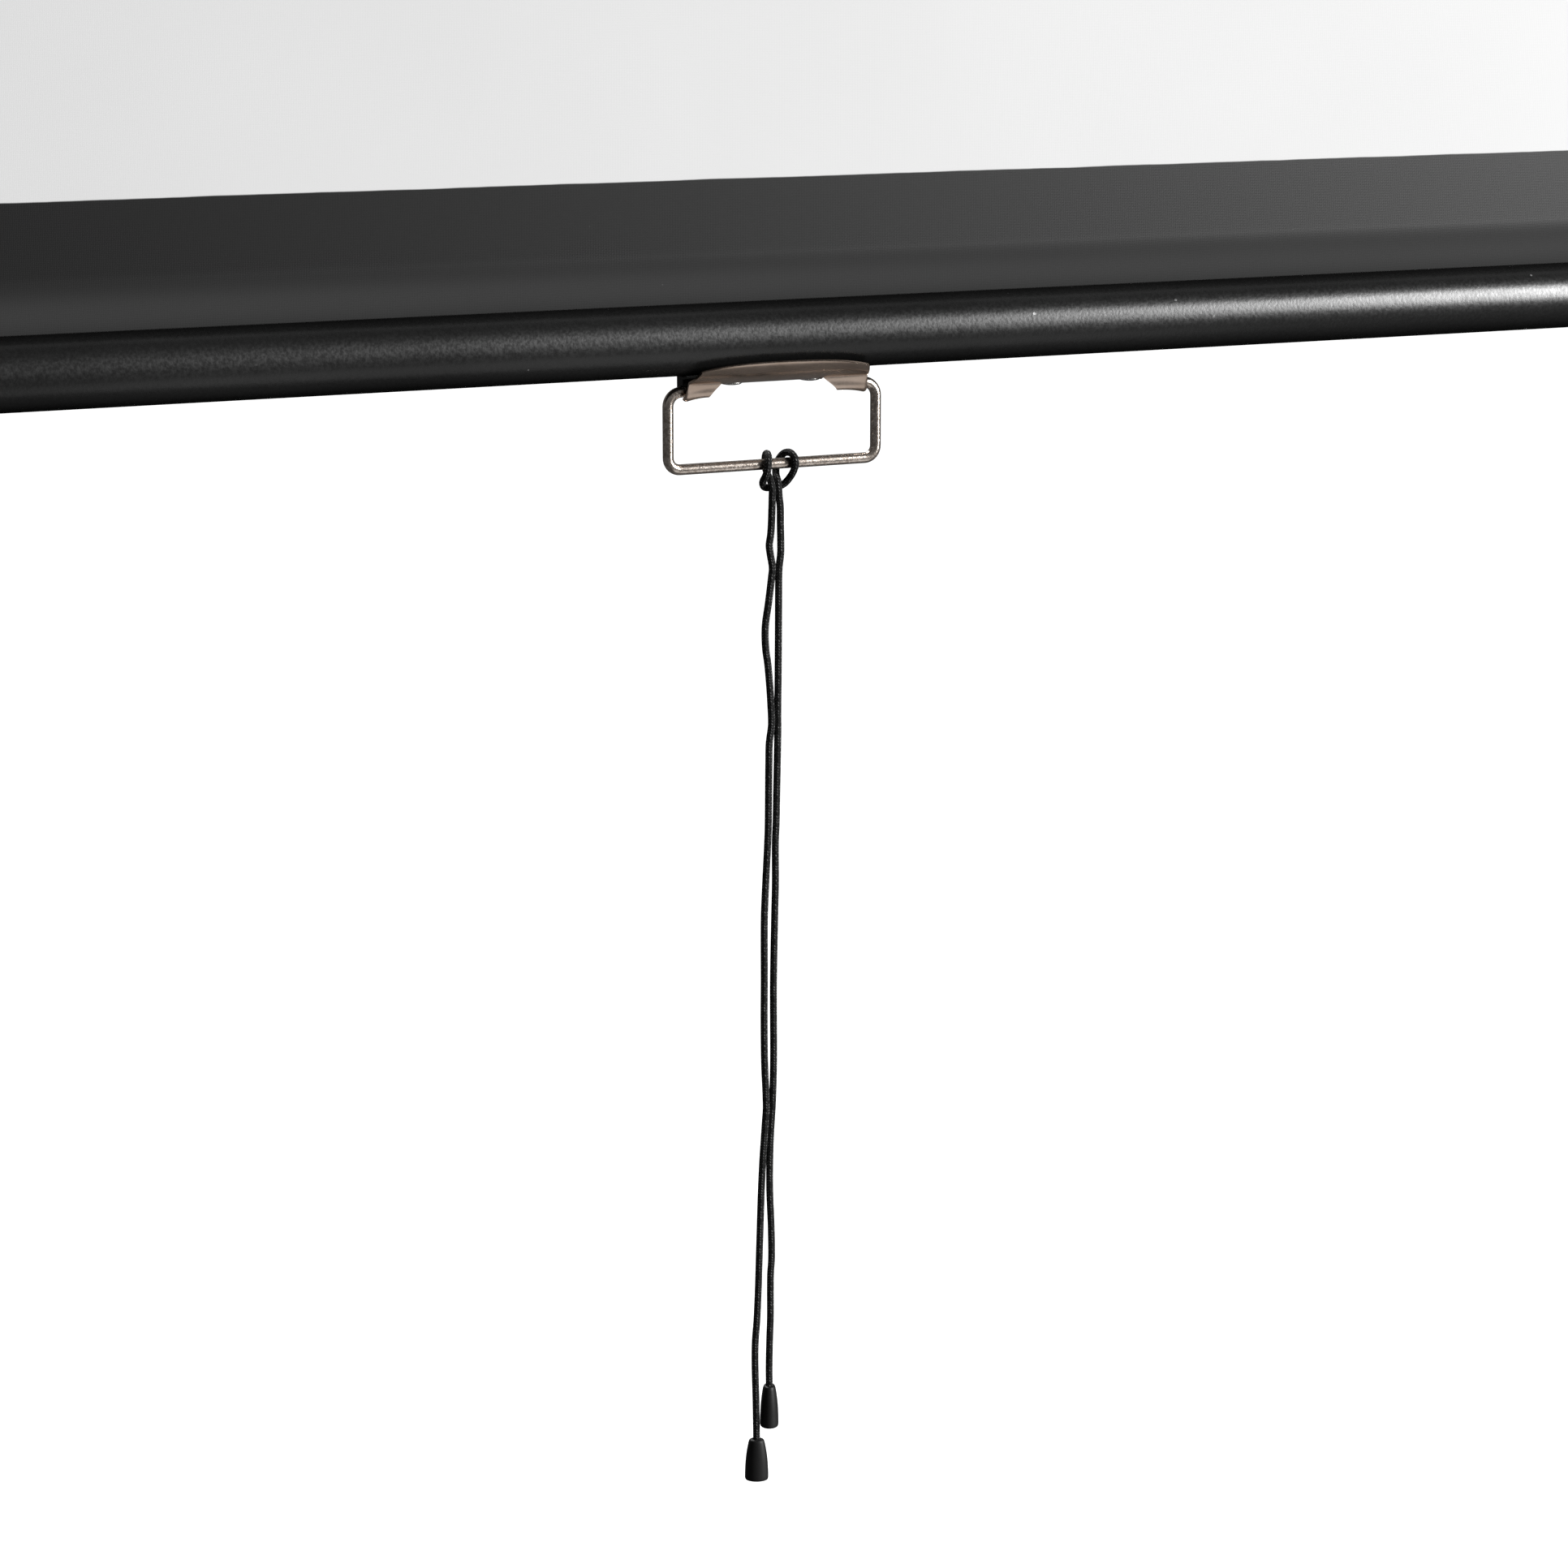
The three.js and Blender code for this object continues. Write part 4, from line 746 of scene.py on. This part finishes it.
# The cord's map: turns round it across, millimetres along it upwards. A quad that seems to span more than half a turn
# lies on the seam, where the turn is carried on past 1.
def mapCord(data, rings, along):
    sides, halfTurn = cord["sides"], 0.5
    corners = np.empty(len(data.loops), dtype=np.int32)
    data.loops.foreach_get("vertex_index", corners)
    ring, place = np.divmod(corners, sides)
    turns = place / sides
    totals = np.empty(len(data.polygons), dtype=np.int32)
    data.polygons.foreach_get("loop_total", totals)
    quadLoops = int(np.sum(totals == 4)) * 4
    quadTurns = turns[:quadLoops].reshape(-1, 4)
    onSeam = (quadTurns.max(axis=1) - quadTurns.min(axis=1)) > halfTurn
    quadTurns[onSeam[:, None] & (quadTurns < halfTurn / 2)] += 1.0
    layer = data.uv_layers.new(name="cordMap")
    values = np.stack([turns, along[np.minimum(ring, rings - 1)] / mm], axis=1)
    layer.uv.foreach_set("vector", values.astype(np.float32).ravel())


cordLeft, leftPath, leftLength = makeCord("left")
cordRight, rightPath, rightLength = makeCord("right")
print("cord made")

# Cord ends: oval bells, a domed shoulder above and flared below, hollow round the stopper knot
bell = {
    "height": 16.3,
    "wide": 9.1,
    "narrow": 7.2,
    "bore": 1.65,
    "grip": 3.0,
    "hollowShare": 0.6,
    "roof": 0.6,
    "innerCorner": 0.5,
    "step": 0.35,
    "sides": 48,
    "sharp": 50,
    "outerShares": [  # of the half width and of the height, from the mouth for the cord down
        (0.5, 0), (0.59, 0.01), (0.66, 0.045), (0.75, 0.15), (0.86, 0.33),
        (0.94, 0.53), (0.985, 0.75), (1, 0.91), (0.99, 0.97), (0.95, 1),
    ],
    "turn": 24.7,
}


# A closed profile of radius and height, down the outside and up the hollow, carried round an oval
def makeBell(side, turn):
    foot = (leftPath if side == "left" else rightPath)[-1]
    half = bell["wide"] / 2
    shares = np.array(bell["outerShares"])
    outer = shares * np.array([half, -bell["height"]])
    outerFine, _ = smoothRoute(np.column_stack([outer, np.zeros(len(outer))]), bell["step"])
    hollow, roof = bell["hollowShare"] * half, bell["grip"] + bell["roof"]
    inner = [(hollow, -bell["height"]), (hollow, -roof), (hollow - bell["innerCorner"], -bell["grip"])]
    inner += [(bell["bore"], -bell["grip"]), (bell["bore"], 0)]
    profile = np.concatenate([outerFine[:, :2], inner]) * mm
    around = np.linspace(0, 2 * math.pi, bell["sides"], endpoint=False)
    flat = bell["narrow"] / bell["wide"]
    ring = np.stack([np.cos(around), flat * np.sin(around)], axis=1)
    angle = math.radians(turn)
    spun = ring @ np.array([[math.cos(angle), math.sin(angle)], [-math.sin(angle), math.cos(angle)]])
    points = np.empty((len(profile), len(around), 3))
    points[..., :2] = profile[:, None, :1] * spun[None] + foot[:2]
    points[..., 2] = profile[:, None, 1] + foot[2] + roof * mm
    faces = gridFaces(*points.shape[:2], wrapRows=True, wrapColumns=True)
    data = meshFrom("cord_bell_" + side, points.reshape(-1, 3), faces, sharp=bell["sharp"])
    return addPiece("cord_bell_" + side, data, "cord", "moulded_black", [f"cord_{side}_bell"])


bellLeft = makeBell("left", -bell["turn"])
bellRight = makeBell("right", 90 - bell["turn"])
print("cord ends made")


# The bail's path: straight runs joined by quarter circles, as one list of points at even steps
def bailPath():
    half, end = bail["half"], bail["end"]
    corners = [
        (-half, 0, bail["upperCorner"], 90, 180),
        (-half, -bail["barDrop"], bail["lowerCorner"], 180, 270),
        (half, -bail["barDrop"], bail["lowerCorner"], 270, 360),
        (half, 0, bail["upperCorner"], 0, 90),
    ]
    runs = [np.array([[-end, 0.0]])]
    for x, z, radius, start, stop in corners:
        turn = np.radians(np.linspace(start, stop, bail["cornerSteps"]))
        middle = np.array([x - math.copysign(radius, x), z + (radius if z < 0 else -radius)])
        runs.append(middle + radius * np.stack([np.cos(turn), np.sin(turn)], axis=1))
    runs.append(np.array([[end, 0.0]]))
    rough = np.concatenate(runs)
    length = wayAlong(rough)[-1]
    flat = placesAfter(rough, np.linspace(0, length, int(length / bail["step"])))
    return np.insert(flat, 1, 0.0, axis=1) * mm + bailPivot


addPiece(
    "bail_wire",
    tubeMesh("bail_wire", bailPath(), bail["wire"] / 2 * mm, bail["sides"]),
    "bail",
    "nickel_plate",
    ["bail"],
    finishes["nickel_wire"],
)
print("bail made")

# Bottom bar: a round tube with a slot along its top for the fabric
bar = {"wall": 1.5, "slot": 3.0, "steps": 96, "endRing": 1.0}


# Y and Z are radius * (sine, cosine) of the turn from the slot's one edge round to the other, at five places along X
def makeBar():
    outer, inner = barRadius, barRadius - bar["wall"] * mm
    half = bar["slot"] / 2 * mm
    nearEnd = barHalf - bar["endRing"] * mm
    ends = np.array([-barHalf, -nearEnd, 0, nearEnd, barHalf])
    grids = []
    for radius in (outer, inner):
        gap = math.asin(half / radius)
        turn = np.linspace(gap, 2 * math.pi - gap, bar["steps"])
        ring = np.stack([np.sin(turn) * radius, np.cos(turn) * radius], axis=1)
        grids.append(extrude(ends, ring + barAxis[1:]))
    return shellMesh("bottom_bar_tube", *grids)


addPiece("bottom_bar_tube", makeBar(), "bottom_bar", "powder_black", ["bottom_bar"])
print("bar made")

# Handle plate: pressed sheet, its lip round the bar, then a flange under it and a curled tab at each end
plate = {
    "steel": 1.0,
    "outer": 15.6,
    "half": 36.0,
    "taper": 0.5,
    "corner": 33.4,
    "leftHeight": -10.3,
    "crownHeight": -7.8,
    "rightHeight": -10.7,
    "crownX": -5.0,
    "windowMiddle": -2.6,
    "windowHalf": 19.5,
    "footMiddle": -1.5,
    "footHalf": 25.6,
    "flangeBack": 4.3,
    "foldTurn": 17.0,
    "drop": 21.55,
    "front": 1.8,
    "innerDrop": 20.2,
    "innerFront": 3.1,
    "columns": (9, 14, 34, 18, 9),
    "lipRows": 12,
    "flangeRows": 12,
    "tabRows": 14,
    "tabRound": 0.8,
    "tabRoundShare": 0.999,
    "tabSpread": 2.2,
    "archPlaces": (0.6, 0.7),
    "archShares": (0.8, 0.62),
    "endHeight": 0.25,
    "sharp": 40,
    "edge": 0.4,
    "edgeSteps": 4,
    "edgeAngle": 50,
    "curl": [(0, 0), (0.24, 0.1), (0.56, 0.38), (0.84, 0.62), (1, 1)],
}


# Height of the lip's edge along X: a smooth arch from corner to corner, through a point on either side of its crown
# that has risen by a share of the way, then a straight slant to just above the fold
def lipEdge(x):
    corner, crown = plate["corner"], plate["crownHeight"]
    leftPlace, rightPlace = plate["archPlaces"]
    leftShare, rightShare = plate["archShares"]
    arch = [-corner, -leftPlace * corner, plate["crownX"], rightPlace * corner, corner]
    heights = [
        plate["leftHeight"],
        plate["leftHeight"] + leftShare * (crown - plate["leftHeight"]),
        crown,
        plate["rightHeight"] + rightShare * (crown - plate["rightHeight"]),
        plate["rightHeight"],
    ]
    fit = np.polyfit(arch, heights, len(arch) - 1)
    fold = -plate["outer"] * math.cos(math.radians(plate["foldTurn"]))
    over = np.clip((np.abs(x) - corner) / (plate["half"] - plate["taper"] - corner), 0, 1)
    edge = np.polyval(fit, np.clip(x, -corner, corner))
    return edge + (fold + plate["endHeight"] - edge) * over


# Lip: Y and Z are -outer * (sine, cosine) of a turn that runs from the lip's edge to the fold. Its last row is
# shared by the flange in the middle and by a tab at each end.
def makePlate():
    taper, half, outer, corner = plate["taper"], plate["half"], plate["outer"], plate["corner"]
    cuts = (plate["windowMiddle"] - plate["windowHalf"], plate["windowMiddle"] + plate["windowHalf"])
    places = (-half + taper, -corner, *cuts, corner, half - taper)
    runs = [np.linspace(*run)[:-1] for run in zip(places, places[1:], plate["columns"])]
    columns = np.concatenate([*runs, places[-1:]])
    fold = math.radians(plate["foldTurn"])
    edgeTurn = np.arccos(np.clip(-lipEdge(columns) / outer, -1, 1))
    share = np.linspace(0, 1, plate["lipRows"])[None, :]
    turn = edgeTurn[:, None] * (1 - share) + fold * share
    lipX = np.broadcast_to(columns[:, None], turn.shape)
    lip = np.stack([lipX, -outer * np.sin(turn), -outer * np.cos(turn)], axis=-1)
    pieces, faces = [lip.reshape(-1, 3)], [gridFaces(*lip.shape[:2])]
    count = lip.shape[0] * lip.shape[1]
    lastRow = np.arange(lip.shape[0]) * lip.shape[1] + lip.shape[1] - 1
    slack = 1e-9
    isLeft = columns <= cuts[0] + slack
    isRight = columns >= cuts[1] - slack
    isMiddle = (columns >= cuts[0] - slack) & (columns <= cuts[1] + slack)
    for mask, kind in ((isLeft, -1), (isMiddle, 0), (isRight, 1)):
        grown = makeFlange(columns[mask]) if kind == 0 else makeTab(columns[mask], kind)
        rows = grown.shape[1]
        pieces.append(grown.reshape(-1, 3))
        index = count + np.arange(grown.shape[0] * rows).reshape(grown.shape[0], rows)
        faces.append(quadsOf(np.hstack([lastRow[mask][:, None], index])))
        count += grown.shape[0] * rows
    points = np.concatenate(pieces) * mm + barAxis
    data = meshFrom("handle_plate_sheet", points, np.concatenate(faces), sharp=plate["sharp"], closed=False)
    piece = addPiece("handle_plate_sheet", data, "bottom_bar", "nickel_plate", ["handle_plate"])
    addWall(piece, plate["steel"], -1.0).use_even_offset = True
    addBevel(piece, plate["edge"], plate["edgeSteps"], plate["edgeAngle"])


# The flange runs back from the fold, and sinks from the fold's height to the flat by 1 less the square of what is
# left of the way to the middle
def makeFlange(columns):
    outer, fold = plate["outer"], math.radians(plate["foldTurn"])
    start = -outer * math.sin(fold)
    y = np.linspace(start, plate["flangeBack"], plate["flangeRows"])[1:]
    ease = np.clip((y - start) / -start, 0, 1)
    z = -outer * (math.cos(fold) + (1 - math.cos(fold)) * (1 - (1 - ease) ** 2))
    return extrude(columns, np.stack([y, z], axis=1))


# A tab drops from the fold in a shallow curl; its foot lies further out than its root, and lower at its outer end
def makeTab(columns, side):
    outer, fold = plate["outer"], math.radians(plate["foldTurn"])
    root = np.array([-outer * math.sin(fold), -outer * math.cos(fold)])
    feet = np.array([[-plate["innerFront"], -plate["innerDrop"]], [-plate["front"], -plate["drop"]]])
    inner = plate["windowHalf"] + side * plate["windowMiddle"]
    share = np.clip((np.abs(columns) - inner) / (plate["half"] - plate["taper"] - inner), 0, 1)
    down = np.linspace(0, 1, plate["tabRows"] + 1)[1:]
    footX = plate["footHalf"] + side * plate["footMiddle"]
    footX = footX + share * (plate["half"] - footX)
    foot = feet[0] + share[:, None] ** plate["tabSpread"] * (feet[1] - feet[0])
    rounding = np.clip((footX - plate["half"] + plate["tabRound"]) / plate["tabRound"], 0, 1)
    foot[:, 1] += plate["tabRound"] * (1 - np.sqrt(1 - plate["tabRoundShare"] * rounding**2))
    grid = np.empty((len(columns), len(down), 3))
    grid[..., 0] = side * (np.abs(columns)[:, None] * (1 - down) + footX[:, None] * down)
    curlDown, curlBack = np.array(plate["curl"]).T
    curl = np.polyval(np.polyfit(curlDown, curlBack, len(curlDown) - 1), down)
    grid[..., 1] = root[0] + (foot[:, :1] - root[0]) * curl
    grid[..., 2] = root[1] + (foot[:, 1:] - root[1]) * down
    return grid


makePlate()
print("handle plate made")

# Screen fabric: a hanging sheet with a faint long wave, white and black in front and black behind
fabric = {
    "thick": 0.4,
    "wave": 0.5,
    "waveUp": 9.0,
    "waveAcross": 3.0,
    "calm": 100.0,
    "sideFrom": 600.0,
    "sideOver": 245.0,
    "columns": 90,
    "rows": 60,
}


# Y is the sheet's middle plane and a sine of height and width, faded out towards the roller, the bar and the middle
def makeFabric():
    low, high = (np.array(corner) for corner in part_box("screen_sheet"))
    across = np.linspace(low[0], high[0], fabric["columns"])
    up = np.linspace(low[2], high[2], fabric["rows"])
    x, z = np.meshgrid(across, up, indexing="ij")
    calm, middle = fabric["calm"] * mm, float((low[1] + high[1]) / 2)
    free = np.clip((z - low[2]) / calm, 0, 1) * np.clip((high[2] - z) / calm, 0, 1)
    edge = np.clip((np.abs(x) - fabric["sideFrom"] * mm) / (fabric["sideOver"] * mm), 0, 1) ** 2
    wave = fabric["wave"] * mm * free * edge * np.sin(fabric["waveUp"] * z + fabric["waveAcross"] * x)
    grid = np.stack([x, middle + wave, z], axis=-1)
    data = meshFrom("screen_fabric", grid.reshape(-1, 3), gridFaces(*x.shape), closed=False)
    data.materials.append(finishes["screen_fabric"])
    data.materials.append(finishes["backing"])
    piece = addPiece("screen_fabric", data, "case", "screen_fabric", ["screen_sheet"])
    wall = addWall(piece, fabric["thick"], 0.0)
    wall.material_offset = 1
    wall.material_offset_rim = 1
    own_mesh(piece)


makeFabric()
print("fabric made")

# Case: bent sheet with round front corners, open along a slot whose edges fold up inside
casePanels = ["case_back", "case_top", "case_front", "case_front_floor", "case_rear_floor"]
case = {
    "depth": 68.0,
    "height": 70.0,
    "wall": 1.6,
    "front": 16.0,
    "back": 4.0,
    "slotBack": 10.0,
    "slot": 14.0,
    "lip": 7.0,
    "fold": 2.2,
    "frontSteps": 14,
    "backSteps": 8,
    "endRing": 5.0,
}


# Centre + radius * (cosine, sine) of the turn, in degrees
def arc(y, z, radius, start, stop, count):
    turn = np.radians(np.linspace(start, stop, count))
    return np.stack([y + radius * np.cos(turn), z + radius * np.sin(turn)], axis=1)


# The outline runs in Y and Z from the slot's front lip round the case to its rear lip, and along X it stays the same
def makeCase():
    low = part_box("case_back")[0]
    nearEnd = low[0] + case["endRing"] * mm
    half, depth, fold = case["height"] / 2, case["depth"], case["fold"]
    many, few = case["frontSteps"], case["backSteps"]
    slotFront, slotBack = -case["slotBack"] - case["slot"], -case["slotBack"]

    def outline(inset):
        front, back, turn = case["front"] - inset, case["back"] - inset, fold - inset
        return np.concatenate([
            [(slotFront - inset, case["lip"] - half)],
            arc(slotFront - fold, fold - half, turn, 0, -90, few),
            arc(case["front"] - depth, case["front"] - half, front, -90, -180, many),
            arc(case["front"] - depth, half - case["front"], front, 180, 90, many),
            arc(-case["back"], half - case["back"], back, 90, 0, few),
            arc(-case["back"], case["back"] - half, back, 0, -90, few),
            arc(slotBack + fold, fold - half, turn, -90, -180, few),
            [(slotBack + inset, case["lip"] - half)],
        ])

    ends = np.array([low[0], nearEnd, 0, -nearEnd, -low[0]])
    grids = [extrude(ends, outline(inset) * mm) for inset in (0.0, case["wall"])]
    addPiece("case_body", shellMesh("case_body", *grids), "case", "powder_black", casePanels)


makeCase()
print("case made")


# Smaller rigid pieces keep the frame's own shape, merged, smoothed and with their edges just broken
dressing = {"merge": 0.001, "flat": 1.0, "sharp": 32.0, "edgeAngle": 40.0, "edgeSteps": 2}


def dressNode(name, edge, finish=None):
    work = bmesh.new()
    work.from_mesh(frame["nodes"][name].data)
    bmesh.ops.remove_doubles(work, verts=work.verts, dist=dressing["merge"] * mm)
    flat = math.radians(dressing["flat"])
    bmesh.ops.dissolve_limit(work, angle_limit=flat, verts=work.verts, edges=work.edges)
    data = bpy.data.meshes.new(name + "_dressed")
    work.to_mesh(data)
    work.free()
    shadeSmooth(data, dressing["sharp"])
    piece = addPiece(name + "_dressed", data, bodyOf[name], slotOf[name], [name], finish)
    addBevel(piece, edge, dressing["edgeSteps"], dressing["edgeAngle"]).harden_normals = True


smallEdge = 0.1
dressed = {
    "left_end_cap": 0.6,
    "right_end_cap": 0.6,
    "left_mount_bracket": 0.3,
    "right_mount_bracket": 0.3,
    "left_roller_bracket": 0.2,
    "right_roller_bracket": 0.2,
    "left_bar_cap": 0.4,
    "right_bar_cap": 0.4,
    "handle_saddle": 0.15,
    "left_handle_screw": 0.1,
    "right_handle_screw": 0.1,
}
for name, edge in dressed.items():
    dressNode(name, edge, finishes["screw_plate"] if name.endswith("handle_screw") else None)
for name in slotOf:
    if name.endswith(("screw_front", "screw_rear", "screw_upper", "screw_lower")):
        dressNode(name, smallEdge)
print("small pieces dressed")

# What is left of the frame shows as it is, in its own finish
for name, piece in frame["nodes"].items():
    finish = finishes["backing"] if name == "fabric_roll" else finishFor(slotOf[name], bodyOf[name])
    piece.data.materials.clear()
    piece.data.materials.append(finish)

# Stage: a plain pale floor far below, and soft light
stage = {
    "floorDrop": 2250.0,
    "floorSize": 120000.0,
    "floor": 0.92,
    "floorRough": 0.9,
    "bounce": 0.065,
    "world": 0.14,
    "backdrop": 1.0,
}
lights = {
    "key": {"azimuth": 47, "elevation": 13, "away": 4500.0, "size": (1300.0, 2900.0), "watts": 468.0},
    "fill": {"azimuth": 25, "elevation": -50, "away": 1250.0, "size": (900.0, 900.0), "watts": 1.3},
    "rear": {"azimuth": 180, "elevation": 57, "strength": 3.9, "angle": 20.0},
}


def makeStage():
    size, level = stage["floorSize"] * mm, -stage["floorDrop"] * mm
    corners = np.array([(-size, -size, level), (size, -size, level), (size, size, level), (-size, size, level)])
    data = meshFrom("floor", corners, np.array([[0, 1, 2, 3]]), closed=False)
    floor = bpy.data.objects.new("floor", data)
    bpy.context.scene.collection.objects.link(floor)
    material, tree, shader, _ = startMaterial("floorPaint", Roughness=stage["floorRough"])
    seen = addNode(tree, "ShaderNodeLightPath").outputs["Is Camera Ray"]
    feed(tree, shader.inputs["Base Color"], mixColour(tree, seen, grey(stage["bounce"]), grey(stage["floor"])))
    shader.inputs["Specular IOR Level"].default_value = 0.0
    data.materials.append(material)
    world = bpy.data.worlds.new("studio")
    world.use_nodes = True
    sky = world.node_tree
    seen = addNode(sky, "ShaderNodeLightPath").outputs["Is Camera Ray"]
    feed(sky, sky.nodes["Background"].inputs[0], mixColour(sky, seen, grey(stage["world"]), grey(stage["backdrop"])))
    bpy.context.scene.world = world


# A lamp's place or turn, from its azimuth to the object's right of the front and its height in degrees
def towardsLamp(azimuth, elevation):
    aside, above = math.radians(azimuth), math.radians(elevation)
    flat = math.cos(above)
    return Vector((math.sin(aside) * flat, -math.cos(aside) * flat, math.sin(above)))


def addLamp(name, kind, azimuth, elevation, away=0.0, size=(0.0, 0.0), watts=0.0, strength=0.0, angle=0.0):
    data = bpy.data.lights.new(name, kind)
    towards = towardsLamp(azimuth, elevation)
    lamp = bpy.data.objects.new(name, data)
    lamp.visible_camera = False
    if kind == "SUN":
        data.energy = strength
        data.angle = math.radians(angle)
    else:
        data.energy = watts
        data.shape = "ELLIPSE"
        data.size, data.size_y = size[0] * mm, size[1] * mm
        lamp.location = Vector(barAxis) + towards * away * mm
    lamp.rotation_mode = "QUATERNION"
    lamp.rotation_quaternion = towards.to_track_quat("Z", "Y")
    bpy.context.scene.collection.objects.link(lamp)


makeStage()
addLamp("keyLamp", "AREA", **lights["key"])
addLamp("fillLamp", "AREA", **lights["fill"])
addLamp("rearSun", "SUN", **lights["rear"])
bpy.context.scene.view_settings.view_transform = "Standard"
print("stage set")
